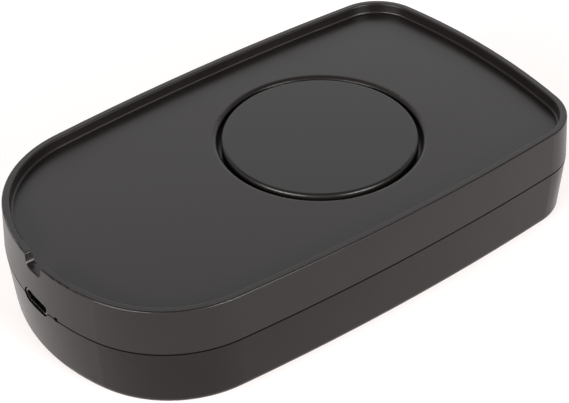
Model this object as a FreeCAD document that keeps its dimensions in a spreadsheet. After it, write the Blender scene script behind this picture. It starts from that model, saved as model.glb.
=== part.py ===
import FreeCAD, Part
import math
import os

import Sketcher
from FreeCAD import Vector

# A mouse jiggler: a moulded tray that a mouse is parked on, with a slow turntable under its sensor.
# Millimetres, +Z up. The rounded nose with the USB-C inlet points to -Y and the tail to +Y.
# X = 0 is the plane of symmetry, Y = 0 is half way along, and Z = 0 is the underside of the feet.

SIZES = {
    # plan outline, a closed run of tangent arcs
    "case_length": 138.7,
    "case_width": 81.6,
    "nose_radius": 53.4,
    "nose_corner": 30.1,
    "flank_radius": 636.8,
    "flank_centre": 13.3,
    "tail_radius": 160.8,
    "tail_corner": 14.2,
    # base shell
    "foot_stand": 0.8,
    "base_floor": 2,
    "base_height": 16.3,
    "base_wall": 2.4,
    "base_draft": 1,
    "base_edge": 2.2,
    "seam_gap": 0.4,
    "lip_height": 1.4,
    "lip_clearance": 0.15,
    # top shell
    "top_wall": 2.4,
    "top_draft": 0.8,
    "rebate_wall": 1.2,
    "rim_width": 1.8,
    "rim_edge": 0.4,
    "tray_depth": 2.9,
    "tray_root": 0.5,
    "deck_thickness": 2,
    "notch_width": 6.1,
    "notch_flare": 0.35,
    "notch_run_out": 0.5,
    "rib_thickness": 1.4,
    "rib_depth": 3,
    # turntable and its well
    "table_y": 12.5,
    "disc_radius": 24.25,
    "disc_gap": 0.9,
    "disc_proud": 0.2,
    "disc_thickness": 1.8,
    "disc_edge": 0.9,
    "skirt_depth": 1.3,
    "skirt_wall": 1.6,
    "disc_rib": 1.2,
    "disc_rib_depth": 1,
    "disc_rib_count": 6,
    "hub_radius": 4.5,
    "hub_clearance": 0.6,
    "hub_rise": 0.2,
    "well_wall": 1.8,
    "well_depth": 3.9,
    "well_floor": 1.6,
    "well_edge": 1.4,
    # case screws, their bosses and the feet over them
    "boss_side": 11.5,
    "boss_front": 31,
    "boss_back": 13.5,
    "post_radius": 4,
    "boss_radius": 3.2,
    "screw_seat": 2.2,
    "case_screw_length": 16,
    "case_screw_head": 1.8,
    "case_head_radius": 2.5,
    "case_shank_radius": 1.3,
    "screw_clearance": 0.15,
    "head_clearance": 0.4,
    "pilot_clearance": 0.03,
    "foot_radius": 5.5,
    "foot_recess": 0.4,
    "foot_clearance": 0.1,
    "foot_edge": 0.3,
    # geared motor
    "can_floor_gap": 0.6,
    "can_height": 13.6,
    "can_wall": 0.6,
    "can_clearance": 0.63,
    "cradle_clearance": 0.3,
    "cradle_wall": 1.4,
    "cradle_height": 2,
    "cover_thickness": 0.9,
    "ear_radius": 3.5,
    "ear_post_radius": 3.2,
    "ear_screw_length": 7,
    "ear_screw_head": 1.9,
    "ear_head_radius": 2.7,
    "ear_shank_radius": 1.3,
    "ear_screw_headroom": 0.4,
    "shaft_offset": 8,
    "shaft_radius": 2.5,
    "shaft_flats": 3,
    "shaft_flat_length": 3.6,
    "shaft_fit": 0.02,
    "running_fit": 0.05,
    "spigot_radius": 1.4,
    "spigot_length": 0.6,
    "bush_radius": 4.5,
    "bush_height": 1.5,
    "window_width": 12,
    "window_height": 5,
    "lead_cap_width": 15,
    "lead_cap_depth": 3,
    "lead_cap_height": 8,
    "lead_cap_rise": 2.6,
    # reduction gears
    "gear_module": 0.3,
    "wheel_teeth": 30,
    "pinion_teeth": 12,
    "pressure_angle": 25,
    "tooth_addendum": 0.9,
    "tooth_dedendum": 1.25,
    "gear_face": 1.5,
    "gear_gap": 0.3,
    "gear_backlash": 0.05,
    "first_gear_bearing": -7,
    "pin_radius": 0.6,
    "collar_radius": 1.1,
    "plate_thickness": 0.8,
    # rotor and stator
    "rotor_gap": 0.5,
    "magnet_radius": 4.3,
    "magnet_height": 5.4,
    "spindle_radius": 0.75,
    "pole_wall": 0.5,
    "pole_flange": 0.4,
    "pole_slot": 0.6,
    "pole_slot_count": 12,
    "coil_margin": 0.8,
    # circuit board and what it carries
    "socket_recess": 0.5,
    "socket_width": 8.94,
    "socket_height": 3.26,
    "socket_length": 7.35,
    "socket_sheet": 0.3,
    "blade_width": 6.69,
    "blade_thickness": 0.7,
    "blade_setback": 0.6,
    "block_length": 2.2,
    "mouth_clearance": 0.4,
    "board_setback": 3.8,
    "board_nose_length": 3,
    "board_nose_width": 12,
    "board_width": 30,
    "board_length": 30,
    "board_thickness": 1.2,
    "board_post_radius": 2.6,
    "board_screw_margin": 3,
    "board_screw_length": 5,
    "board_screw_head": 1.3,
    "board_head_radius": 1.8,
    "board_shank_radius": 1,
    "header_width": 13.5,
    "header_depth": 7.5,
    "header_height": 6,
    "header_wall": 0.8,
    "plug_clearance": 0.1,
    "plug_length": 9,
    "lead_radius": 0.5,
    "lead_pitch": 2,
    "lead_count": 5,
    "controller_gap": 2.3,
    "controller_width": 6,
    "controller_height": 0.9,
    "driver_gap": 1.5,
    "driver_length": 10,
    "driver_width": 3.9,
    "driver_height": 1.6,
    "capacitor_gap": 1,
    "capacitor_setback": 3.3,
    "capacitor_radius": 2,
    "capacitor_height": 5.4,
    # the small notch for prising the shells apart
    "pry_place": 7.95,
    "pry_width": 1.1,
    "pry_height": 1.2,
    "pry_depth": 1,
    # how far a cut starts outside what it cuts
    "overrun": 1,
}

# Levels, from the feet up, and places, as expressions in the sheet's cells.
BASE_UNDER = "dims.foot_stand"
FLOOR = f"({BASE_UNDER} + dims.base_floor)"
SEAM = f"({BASE_UNDER} + dims.base_height)"
BASE_RIM = f"({SEAM} - dims.seam_gap)"
CAN_UNDER = f"({FLOOR} + dims.can_floor_gap)"
CAN_FLOOR = f"({CAN_UNDER} + dims.can_wall)"
COVER_UNDER = f"({CAN_UNDER} + dims.can_height)"
COVER_TOP = f"({COVER_UNDER} + dims.cover_thickness)"
WELL_UNDER = f"({COVER_TOP} + dims.ear_screw_head + dims.ear_screw_headroom)"
WELL_FLOOR = f"({WELL_UNDER} + dims.well_floor)"
DECK = f"({WELL_FLOOR} + dims.well_depth)"
DECK_UNDER = f"({DECK} - dims.deck_thickness)"
RIM = f"({DECK} + dims.tray_depth)"
DISC_TOP = f"({DECK} + dims.disc_proud)"
DISC_UNDER = f"({DISC_TOP} - dims.disc_thickness)"
SHOULDER = f"({WELL_UNDER} + dims.hub_rise)"
THIRD_LAYER = f"({COVER_UNDER} - dims.gear_gap - dims.gear_face)"
SECOND_LAYER = f"({THIRD_LAYER} - dims.gear_gap - dims.gear_face)"
FIRST_LAYER = f"({SECOND_LAYER} - dims.gear_gap - dims.gear_face)"
PLATE_TOP = f"({FIRST_LAYER} - dims.gear_gap)"
PLATE_UNDER = f"({PLATE_TOP} - dims.plate_thickness)"
BOARD_TOP = f"({SEAM} - dims.socket_height / 2)"
BOARD_UNDER = f"({BOARD_TOP} - dims.board_thickness)"
CASE_SCREW_SEAT = f"({FLOOR} + dims.screw_seat)"

NOSE_Y = "(-dims.case_length / 2)"
TAIL_Y = "(dims.case_length / 2)"
BOSS_X = "(dims.case_width / 2 - dims.boss_side)"
FRONT_BOSS_Y = f"({NOSE_Y} + dims.boss_front)"
BACK_BOSS_Y = f"({TAIL_Y} - dims.boss_back)"
WELL_RADIUS = "(dims.disc_radius + dims.disc_gap)"
CAN_Y = "(dims.table_y - dims.shaft_offset)"
WHEEL_TIP = "(dims.gear_module * (dims.wheel_teeth / 2 + dims.tooth_addendum))"
CAN_RADIUS = f"(dims.shaft_offset + {WHEEL_TIP} + dims.can_clearance + dims.can_wall)"
CAN_BORE = f"({CAN_RADIUS} - dims.can_wall)"
EAR_X = f"({CAN_RADIUS} + dims.ear_radius)"
MOUTH_Y = f"({NOSE_Y} + dims.socket_recess)"
BOARD_NOSE_Y = f"({NOSE_Y} + dims.board_setback)"
BOARD_FRONT_Y = f"({BOARD_NOSE_Y} + dims.board_nose_length)"
BOARD_BACK_Y = f"({BOARD_FRONT_Y} + dims.board_length)"
HEADER_Y = f"({BOARD_BACK_Y} - dims.header_depth)"
PLUG_Y = f"({HEADER_Y} + dims.header_wall + dims.plug_clearance)"

CORNERS = {
    "front_left": (-1, FRONT_BOSS_Y),
    "front_right": (1, FRONT_BOSS_Y),
    "rear_left": (-1, BACK_BOSS_Y),
    "rear_right": (1, BACK_BOSS_Y),
}

DOC = FreeCAD.newDocument("mouse_jiggler")
SHEET = DOC.addObject("Spreadsheet::Sheet", "dims")
PARTS = []


def fill_sheet():
    """Puts every driving size in the sheet, its name beside it."""
    for row, (name, size) in enumerate(SIZES.items(), start=1):
        SHEET.set(f"A{row}", name)
        SHEET.set(f"B{row}", str(size))
        SHEET.setAlias(f"B{row}", name)
    DOC.recompute()


def value(expression):
    """What an expression in the sheet's cells comes to."""
    return float(SHEET.evalExpression(expression))


def plus(*terms):
    """The expression of a sum."""
    return "(" + " + ".join(terms) + ")"


def minus(first, *rest):
    """The expression of a difference."""
    return "(" + " - ".join((first, *rest)) + ")"


def signed(side, expression):
    """The expression on the right (+1) or mirrored to the left (-1)."""
    return expression if side > 0 else f"(-{expression})"


# ---------------------------------------------------------------- sketches


def new_body(name, y="0"):
    """A body named as its node, its own origin at Y = `y`."""
    body = DOC.addObject("PartDesign::Body", name)
    body.Label = name
    body.setExpression("Placement.Base.y", y)
    PARTS.append(body)
    return body


def sketch_on(body, role, offset):
    """A sketch on one of the body's origin planes, moved along its normal by `offset`."""
    plane = next(item for item in body.Origin.OriginFeatures if item.Role == role)
    sketch = body.newObject("Sketcher::SketchObject", f"{body.Name}_sketch")
    sketch.AttachmentSupport = [(plane, "")]
    sketch.MapMode = "FlatFace"
    sketch.setExpression("AttachmentOffset.Base.z", offset)
    return sketch


def level_sketch(body, level):
    """A sketch that lies flat at the height `level`."""
    return sketch_on(body, "XY_Plane", level)


def upright_sketch(body, y):
    """A sketch that stands at Y = `y`, its own axes along X and Z and its normal along -Y."""
    return sketch_on(body, "XZ_Plane", f"(-{y})")


def bind(sketch, constraint, expression):
    """Adds a dimension and ties it to the sheet."""
    index = sketch.addConstraint(constraint)
    sketch.setExpression(f"Constraints[{index}]", expression)


def pin_point(sketch, geometry, point, x, y):
    """Dimensions one point of the sketch from the origin."""
    bind(sketch, Sketcher.Constraint("DistanceX", -1, 1, geometry, point, value(x)), x)
    bind(sketch, Sketcher.Constraint("DistanceY", -1, 1, geometry, point, value(y)), y)


def circle(sketch, x, y, radius):
    """A circle, dimensioned by its centre and radius."""
    centre = Vector(value(x), value(y), 0)
    index = sketch.addGeometry(Part.Circle(centre, Vector(0, 0, 1), value(radius)))
    bind(sketch, Sketcher.Constraint("Radius", index, value(radius)), radius)
    pin_point(sketch, index, 3, x, y)


def polygon(sketch, corners):
    """A closed run of straight lines, each corner dimensioned from the origin."""
    points = [Vector(value(x), value(y), 0) for x, y in corners]
    first = sketch.GeometryCount
    count = len(points)
    for number in range(count):
        sketch.addGeometry(Part.LineSegment(points[number], points[(number + 1) % count]))
    for number in range(count):
        following = first + (number + 1) % count
        sketch.addConstraint(Sketcher.Constraint("Coincident", first + number, 2, following, 1))
    for number, (x, y) in enumerate(corners):
        pin_point(sketch, first + number, 1, x, y)


def rectangle(sketch, left, right, low, high):
    """A rectangle between four dimensioned sides."""
    polygon(sketch, [(left, low), (right, low), (right, high), (left, high)])


def arc(centre, radius, start, end):
    """An arc of a circle from one angle to another, counter-clockwise, in radians."""
    return Part.ArcOfCircle(Part.Circle(centre, Vector(0, 0, 1), radius), start, end)


def stadium(sketch, x, y, reach, radius):
    """A slot with round ends, their centres `reach` either side of (x, y)."""
    left = minus(x, reach)
    right = plus(x, reach)
    size = value(radius)
    middle = value(y)
    up = Vector(0, size, 0)
    left_centre = Vector(value(left), middle, 0)
    right_centre = Vector(value(right), middle, 0)
    first = sketch.GeometryCount
    sketch.addGeometry(arc(right_centre, size, -math.pi / 2, math.pi / 2))
    sketch.addGeometry(Part.LineSegment(right_centre + up, left_centre + up))
    sketch.addGeometry(arc(left_centre, size, math.pi / 2, 3 * math.pi / 2))
    sketch.addGeometry(Part.LineSegment(left_centre - up, right_centre - up))
    for number in range(4):
        following = first + (number + 1) % 4
        sketch.addConstraint(Sketcher.Constraint("Tangent", first + number, 2, following, 1))
    bind(sketch, Sketcher.Constraint("Radius", first, size), radius)
    pin_point(sketch, first, 3, right, y)
    bind(sketch, Sketcher.Constraint("DistanceX", -1, 1, first + 2, 3, value(left)), left)


def double_flat(sketch, radius, flats):
    """A circle about the origin with two parallel flats, `flats` apart."""
    size = value(radius)
    half = value(f"{flats} / 2")
    turn = math.asin(half / size)
    origin = Vector(0, 0, 0)
    reach = size * math.cos(turn)
    sketch.addGeometry(arc(origin, size, -turn, turn))
    sketch.addGeometry(Part.LineSegment(Vector(reach, half, 0), Vector(-reach, half, 0)))
    sketch.addGeometry(arc(origin, size, math.pi - turn, math.pi + turn))
    sketch.addGeometry(Part.LineSegment(Vector(-reach, -half, 0), Vector(reach, -half, 0)))
    for number in range(4):
        sketch.addConstraint(Sketcher.Constraint("Coincident", number, 2, (number + 1) % 4, 1))
    for number in (0, 2):
        sketch.addConstraint(Sketcher.Constraint("Coincident", number, 3, -1, 1))
        bind(sketch, Sketcher.Constraint("Radius", number, size), radius)
    for number, side in ((1, 1), (3, -1)):
        place = signed(side, f"({flats} / 2)")
        sketch.addConstraint(Sketcher.Constraint("Horizontal", number))
        bind(sketch, Sketcher.Constraint("DistanceY", -1, 1, number, 1, value(place)), place)


def corner_centre(end, end_centre, end_radius, flank_centre, flank_radius, corner):
    """Where a corner arc is centred, so that it meets an end arc and the right flank at a tangent.

    `end` is -1 at the nose and +1 at the tail, because two circles always cross twice.
    """
    near = end_radius - corner
    far = flank_radius - corner
    across = flank_centre - end_centre
    gap = across.Length
    along = (near**2 - far**2 + gap**2) / (2 * gap)
    rise = math.sqrt(near**2 - along**2)
    unit = across / gap
    normal = Vector(-unit.y, unit.x, 0)
    options = [end_centre + unit * along + normal * rise * side for side in (-1, 1)]
    return max(options, key=lambda point: point.y * end)


def bearing(start, end):
    """The angle of the way from one point to another."""
    return math.atan2(end.y - start.y, end.x - start.x)


def case_outline(sketch, inset):
    """The case seen from above, `inset` inside its widest outline: eight arcs, tangent all round."""
    radii = {name: value(f"dims.{name}") for name in
             ("nose_radius", "nose_corner", "flank_radius", "tail_radius", "tail_corner")}
    flank_x = value("dims.case_width / 2 - dims.flank_radius")
    nose = Vector(0, value(f"{NOSE_Y} + dims.nose_radius"), 0)
    tail = Vector(0, value(f"{TAIL_Y} - dims.tail_radius"), 0)
    right = Vector(flank_x, value("dims.flank_centre"), 0)
    left = Vector(-flank_x, right.y, 0)
    nose_right = corner_centre(
        -1, nose, radii["nose_radius"], right, radii["flank_radius"], radii["nose_corner"])
    tail_right = corner_centre(
        1, tail, radii["tail_radius"], right, radii["flank_radius"], radii["tail_corner"])
    nose_left = Vector(-nose_right.x, nose_right.y, 0)
    tail_left = Vector(-tail_right.x, tail_right.y, 0)
    turns = [bearing(nose, nose_right), bearing(right, nose_right), bearing(right, tail_right),
             bearing(tail, tail_right)]
    turns += [math.pi - turn for turn in reversed(turns)]
    run = [
        (nose_right, "nose_corner"),
        (right, "flank_radius"),
        (tail_right, "tail_corner"),
        (tail, "tail_radius"),
        (tail_left, "tail_corner"),
        (left, "flank_radius"),
        (nose_left, "nose_corner"),
        (nose, "nose_radius"),
    ]
    shrink = value(inset)
    for number, (centre, name) in enumerate(run):
        start = turns[number]
        end = turns[(number + 1) % len(run)]
        if end < start:
            end += 2 * math.pi
        sketch.addGeometry(arc(centre, radii[name] - shrink, start, end))
    for number in range(len(run)):
        following = (number + 1) % len(run)
        sketch.addConstraint(Sketcher.Constraint("Tangent", number, 2, following, 1))
    for number, (_, name) in enumerate(run):
        radius = minus(f"dims.{name}", inset)
        bind(sketch, Sketcher.Constraint("Radius", number, value(radius)), radius)
    flank = "(dims.case_width / 2 - dims.flank_radius)"
    pin_point(sketch, 1, 3, flank, "dims.flank_centre")
    pin_point(sketch, 5, 3, f"(-{flank})", "dims.flank_centre")
    pin_point(sketch, 3, 3, "0", minus(TAIL_Y, "dims.tail_radius"))
    pin_point(sketch, 7, 3, "0", plus(NOSE_Y, "dims.nose_radius"))


# ---------------------------------------------------------------- features


def add(body, sketch, length, along=True):
    """Pads a sketch along its normal, or against it."""
    pad = body.newObject("PartDesign::Pad", f"{body.Name}_pad")
    pad.Profile = sketch
    pad.Reversed = not along
    pad.setExpression("Length", length)
    DOC.recompute()
    return pad


def cut(body, sketch, depth, along=True):
    """Pockets a sketch along its normal, or against it, and makes sure that it removes something."""
    before = body.Shape.Volume
    pocket = body.newObject("PartDesign::Pocket", f"{body.Name}_pocket")
    pocket.Profile = sketch
    pocket.Reversed = along
    pocket.setExpression("Length", depth)
    DOC.recompute()
    if not body.Shape.Volume < before:
        raise RuntimeError(f"{pocket.Name} of {body.Label} removes nothing")
    return pocket


def ring(body, level, x, y, outer, inner, height, along=True):
    """Pads a ring."""
    sketch = level_sketch(body, level)
    circle(sketch, x, y, outer)
    circle(sketch, x, y, inner)
    return add(body, sketch, height, along)


def boss(body, level, x, y, radius, height, along=True):
    """Pads a round boss."""
    sketch = level_sketch(body, level)
    circle(sketch, x, y, radius)
    return add(body, sketch, height, along)


def bore(body, level, x, y, radius, depth, along=True):
    """Pockets a round hole, upwards unless `along` is false."""
    sketch = level_sketch(body, level)
    circle(sketch, x, y, radius)
    return cut(body, sketch, depth, along)


def lies_at(edge, height):
    """Whether the whole edge lies flat at a height."""
    box = edge.BoundBox
    return abs(box.ZMin - height) < 1e-4 and abs(box.ZMax - height) < 1e-4


def round_edges(body, radius, wanted):
    """Rounds every edge of the body's last feature that `wanted` picks."""
    base = body.Tip
    names = [f"Edge{number}" for number, edge in enumerate(base.Shape.Edges, start=1) if wanted(edge)]
    fillet = body.newObject("PartDesign::Fillet", f"{body.Name}_fillet")
    fillet.Base = (base, names)
    fillet.setExpression("Radius", radius)
    DOC.recompute()
    return fillet


def round_level(body, radius, level):
    """Rounds every edge that lies flat at a height."""
    height = value(level)
    return round_edges(body, radius, lambda edge: lies_at(edge, height))


def repeat_round(body, feature, count):
    """Repeats a feature evenly round the body's own Z axis."""
    axis = next(item for item in body.Origin.OriginFeatures if item.Role == "Z_Axis")
    pattern = body.newObject("PartDesign::PolarPattern", f"{body.Name}_pattern")
    pattern.Originals = [feature]
    pattern.Axis = (axis, [""])
    pattern.Angle = 360
    pattern.setExpression("Occurrences", count)
    body.Tip = pattern
    DOC.recompute()
    return pattern


def block(name, left, right, front, back, low, high):
    """A box between six dimensioned sides."""
    box = DOC.addObject("Part::Box", name)
    for size, start, end, axis in (("Length", left, right, "x"), ("Width", front, back, "y"),
                                   ("Height", low, high, "z")):
        box.setExpression(size, minus(end, start))
        box.setExpression(f"Placement.Base.{axis}", start)
    return box


def cylinder(name, x, y, low, high, radius):
    """An upright cylinder."""
    rod = DOC.addObject("Part::Cylinder", name)
    rod.setExpression("Radius", radius)
    rod.setExpression("Height", minus(high, low))
    for axis, place in (("x", x), ("y", y), ("z", low)):
        rod.setExpression(f"Placement.Base.{axis}", place)
    return rod


def join(name, shapes):
    """Fuses pieces that touch or overlap into one solid."""
    fuse = DOC.addObject("Part::MultiFuse", name)
    fuse.Shapes = shapes
    return fuse


def subtract(name, base, tool):
    """Cuts one piece out of another."""
    result = DOC.addObject("Part::Cut", name)
    result.Base = base
    result.Tool = tool
    return result


def group(name, shapes):
    """Keeps separate solids together as one node."""
    compound = DOC.addObject("Part::Compound", name)
    compound.Links = shapes
    return compound


def keep(piece, name):
    """Names a finished sub-part as its node."""
    piece.Label = name
    PARTS.append(piece)
    return piece


def keep_shape(name, shape, x=0.0, y=0.0):
    """A sub-part whose shape follows a formula, placed on its own axis."""
    piece = DOC.addObject("Part::Feature", name)
    piece.Shape = shape
    piece.Placement = FreeCAD.Placement(Vector(x, y, 0), FreeCAD.Rotation())
    return keep(piece, name)


# ---------------------------------------------------------------- the case


def loft_case(body, kind, low, low_inset, high, high_inset):
    """Lofts the case's outline from one height and inset to another, to add it or to cut it."""
    before = 0 if body.Shape.isNull() else body.Shape.Volume
    loft = body.newObject(f"PartDesign::{kind}Loft", f"{body.Name}_loft")
    foot = level_sketch(body, low)
    case_outline(foot, low_inset)
    head = level_sketch(body, high)
    case_outline(head, high_inset)
    loft.Profile = foot
    loft.Sections = [head]
    loft.Ruled = True
    DOC.recompute()
    if body.Shape.Volume == before:
        raise RuntimeError(f"{loft.Name} of {body.Label} changes nothing")


def lean(level):
    """How far inside its widest outline the cover's drafted wall stands at a height."""
    return f"(dims.top_draft * ({level} - {SEAM}) / ({RIM} - {SEAM}))"


def usb_mouth(body):
    """Cuts the round-ended USB-C mouth, centred on the seam, through the nose wall."""
    sketch = upright_sketch(body, minus(NOSE_Y, "dims.overrun"))
    radius = plus("dims.socket_height / 2", "dims.mouth_clearance")
    stadium(sketch, "0", SEAM, "((dims.socket_width - dims.socket_height) / 2)", radius)
    cut(body, sketch, plus("dims.base_wall", "dims.base_draft", "2 * dims.overrun"), along=False)


def pry_notch(body):
    """Cuts the small notch beside the mouth where a blade parts the shells."""
    sketch = upright_sketch(body, minus(NOSE_Y, "dims.overrun"))
    left = minus("dims.pry_place", "dims.pry_width / 2")
    right = plus("dims.pry_place", "dims.pry_width / 2")
    low = minus(SEAM, "dims.pry_height / 2")
    high = plus(SEAM, "dims.pry_height / 2")
    rectangle(sketch, left, right, low, high)
    sag = "(dims.pry_place ^ 2 / (2 * dims.nose_radius))"
    cut(body, sketch, plus("dims.overrun", sag, "dims.pry_depth"), along=False)


def bottom_shell():
    """The base: a drafted tub with a locating lip, posts for board and motor, and screw posts."""
    body = new_body("bottom_shell")
    loft_case(body, "Additive", BASE_UNDER, "dims.base_draft", BASE_RIM, "0")
    round_level(body, "dims.base_edge", BASE_UNDER)

    lip = level_sketch(body, BASE_RIM)
    case_outline(lip, "(dims.rebate_wall + dims.lip_clearance)")
    add(body, lip, plus("dims.seam_gap", "dims.lip_height"))

    loft_case(body, "Subtractive", FLOOR, plus("dims.base_draft", "dims.base_wall"),
              BASE_RIM, "dims.base_wall")
    inside = level_sketch(body, BASE_RIM)
    case_outline(inside, "dims.base_wall")
    cut(body, inside, plus("dims.seam_gap", "dims.lip_height"))

    ring(body, FLOOR, "0", CAN_Y,
         plus(CAN_RADIUS, "dims.cradle_clearance", "dims.cradle_wall"),
         plus(CAN_RADIUS, "dims.cradle_clearance"), "dims.cradle_height")
    for side in (-1, 1):
        x = signed(side, EAR_X)
        boss(body, FLOOR, x, CAN_Y, "dims.ear_post_radius", minus(COVER_UNDER, FLOOR))
        bore(body, COVER_UNDER, x, CAN_Y, plus("dims.ear_shank_radius", "dims.pilot_clearance"),
             plus("dims.ear_screw_length", "dims.head_clearance"), along=False)
    for x, y in board_screw_places():
        boss(body, FLOOR, x, y, "dims.board_post_radius", minus(BOARD_UNDER, FLOOR))
        bore(body, BOARD_UNDER, x, y, plus("dims.board_shank_radius", "dims.pilot_clearance"),
             "dims.board_screw_length", along=False)
    for side, y in CORNERS.values():
        x = signed(side, BOSS_X)
        boss(body, BASE_UNDER, x, y, "dims.post_radius", minus(SEAM, BASE_UNDER))
        bore(body, BASE_UNDER, x, y, plus("dims.case_head_radius", "dims.head_clearance"),
             minus(CASE_SCREW_SEAT, BASE_UNDER))
        bore(body, CASE_SCREW_SEAT, x, y, plus("dims.case_shank_radius", "dims.screw_clearance"),
             minus(SEAM, CASE_SCREW_SEAT))
        bore(body, BASE_UNDER, x, y, plus("dims.foot_radius", "dims.foot_clearance"),
             "dims.foot_recess")
    usb_mouth(body)
    pry_notch(body)


def top_shell():
    """The cover: a shallow rimmed tray with the turntable's well sunk in its deck."""
    body = new_body("top_shell")
    loft_case(body, "Additive", SEAM, "0", RIM, "dims.top_draft")
    tray = level_sketch(body, RIM)
    case_outline(tray, plus("dims.top_draft", "dims.rim_width"))
    cut(body, tray, "dims.tray_depth", along=False)
    round_level(body, "dims.tray_root", DECK)
    rim_notch(body)
    round_rim(body)

    loft_case(body, "Subtractive", SEAM, "dims.top_wall",
              DECK_UNDER, plus("dims.top_wall", lean(DECK_UNDER)))
    rebate = level_sketch(body, SEAM)
    case_outline(rebate, "dims.rebate_wall")
    cut(body, rebate, plus("dims.lip_height", "dims.lip_clearance"))

    cup_radius = plus(WELL_RADIUS, "dims.well_wall")
    boss(body, WELL_UNDER, "0", "dims.table_y", cup_radius, minus(DECK, WELL_UNDER))
    stiffening_ribs(body)
    bore(body, DECK, "0", "dims.table_y", WELL_RADIUS, "dims.well_depth", along=False)
    round_level(body, "dims.well_edge", DECK)
    bore(body, WELL_FLOOR, "0", "dims.table_y", plus("dims.hub_radius", "dims.hub_clearance"),
         "dims.well_floor", along=False)
    for side, y in CORNERS.values():
        x = signed(side, BOSS_X)
        boss(body, SEAM, x, y, "dims.boss_radius", minus(DECK_UNDER, SEAM))
        thread = minus("dims.case_screw_length", minus(SEAM, CASE_SCREW_SEAT))
        bore(body, SEAM, x, y, plus("dims.case_shank_radius", "dims.pilot_clearance"),
             plus(thread, "dims.head_clearance"))
    usb_mouth(body)
    pry_notch(body)


def stiffening_ribs(body):
    """Three ribs under the deck, from the well to the flanks and to the tail."""
    start = plus(WELL_RADIUS, "dims.well_wall / 2")
    half = "dims.rib_thickness / 2"
    sketch = level_sketch(body, DECK_UNDER)
    for side in (-1, 1):
        ends = [signed(side, start), signed(side, minus("dims.case_width / 2", "dims.top_wall"))]
        left, right = ends if side > 0 else reversed(ends)
        rectangle(sketch, left, right, minus("dims.table_y", half), plus("dims.table_y", half))
    rectangle(sketch, f"(-{half})", f"({half})", plus("dims.table_y", start),
              minus(TAIL_Y, "dims.top_wall"))
    add(body, sketch, "dims.rib_depth", along=False)


def rim_notch(body):
    """The flared gap in the rim over the nose that lets a mouse's cable out, cut down to the deck."""
    sketch = upright_sketch(body, minus(NOSE_Y, "dims.overrun"))
    low = "(dims.notch_width / 2)"
    high = plus(low, "dims.notch_flare * (dims.tray_depth + dims.overrun) / dims.tray_depth")
    top = plus(RIM, "dims.overrun")
    polygon(sketch, [(f"(-{low})", DECK), (low, DECK), (high, top), (f"(-{high})", top)])
    depth = plus("dims.overrun", "dims.top_draft", "dims.rim_width", "dims.tray_root",
                 "dims.notch_run_out")
    cut(body, sketch, depth, along=False)


def round_rim(body):
    """Rounds the rim's top edges, its ends at the notch and the lip of the notch's floor."""
    rim = value(RIM)
    deck = value(DECK)
    nose = value(plus(NOSE_Y, "dims.rim_width"))
    round_edges(body, "dims.rim_edge", lambda edge: lies_at(edge, rim)
                or lies_at(edge, deck) and edge.CenterOfMass.y < nose)


def foot(name, side, y):
    """A round rubber foot, set in the base over a case screw."""
    body = new_body(name)
    boss(body, "0", signed(side, BOSS_X), y, "dims.foot_radius", plus(BASE_UNDER, "dims.foot_recess"))
    round_level(body, "dims.foot_edge", "0")


def feet():
    """The four feet."""
    for corner, (side, y) in CORNERS.items():
        foot(f"foot_{corner}", side, y)


# ---------------------------------------------------------------- screws


def screw(name, x, y, seat, head, length, head_radius, shank_radius):
    """A screw that stands head up on `seat`, or head down where its head is negative."""
    top = plus(seat, head)
    tail = minus(seat, length)
    ends = (seat, top) if value(head) > 0 else (top, seat)
    shank = (tail, seat) if value(head) > 0 else (seat, tail)
    return join(name, [cylinder(f"{name}_head", x, y, *ends, head_radius),
                       cylinder(f"{name}_shank", x, y, *shank, shank_radius)])


def board_screw_places():
    """The board's four screws, in from its corners."""
    x = minus("dims.board_width / 2", "dims.board_screw_margin")
    front = plus(BOARD_FRONT_Y, "dims.board_screw_margin")
    back = minus(BOARD_BACK_Y, "dims.board_screw_margin")
    return [(signed(side, x), y) for side in (-1, 1) for y in (front, back)]


def screws():
    """The case screws from below, and the motor's and the board's from above."""
    case = [screw(f"case_screw_{corner}", signed(side, BOSS_X), y, CASE_SCREW_SEAT,
                  "(-dims.case_screw_head)", "(-dims.case_screw_length)",
                  "dims.case_head_radius", "dims.case_shank_radius")
            for corner, (side, y) in CORNERS.items()]
    keep(group("case_screws", case), "case_screws")
    ear = [screw(f"motor_screw_{number}", signed(side, EAR_X), CAN_Y, COVER_TOP,
                 "dims.ear_screw_head", "dims.ear_screw_length",
                 "dims.ear_head_radius", "dims.ear_shank_radius")
           for number, side in enumerate((-1, 1))]
    keep(group("motor_screws", ear), "motor_screws")
    board = [screw(f"board_screw_{number}", x, y, BOARD_TOP, "dims.board_screw_head",
                   "dims.board_screw_length", "dims.board_head_radius", "dims.board_shank_radius")
             for number, (x, y) in enumerate(board_screw_places())]
    keep(group("board_screws", board), "board_screws")


# ---------------------------------------------------------------- turntable


def turntable_disc():
    """The disc: a plain plate with a rounded edge, a skirt, six ribs and a hub keyed to the shaft."""
    body = new_body("turntable_disc", "dims.table_y")
    boss(body, DISC_UNDER, "0", "0", "dims.disc_radius", "dims.disc_thickness")
    round_level(body, "dims.disc_edge", DISC_TOP)
    inner = minus("dims.disc_radius", "dims.skirt_wall")
    ring(body, DISC_UNDER, "0", "0", "dims.disc_radius", inner, "dims.skirt_depth", along=False)
    boss(body, SHOULDER, "0", "0", "dims.hub_radius", minus(DISC_UNDER, SHOULDER))
    sketch = level_sketch(body, DISC_UNDER)
    half = "dims.disc_rib / 2"
    start = minus("dims.hub_radius", "dims.disc_rib / 2")
    rectangle(sketch, start, plus(inner, "dims.disc_rib / 2"), f"(-{half})", f"({half})")
    rib = add(body, sketch, "dims.disc_rib_depth", along=False)
    repeat_round(body, rib, "dims.disc_rib_count")
    key = level_sketch(body, SHOULDER)
    double_flat(key, plus("dims.shaft_radius", "dims.shaft_fit"),
                plus("dims.shaft_flats", "2 * dims.shaft_fit"))
    cut(body, key, plus("dims.shaft_flat_length", "dims.shaft_fit"))


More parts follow.
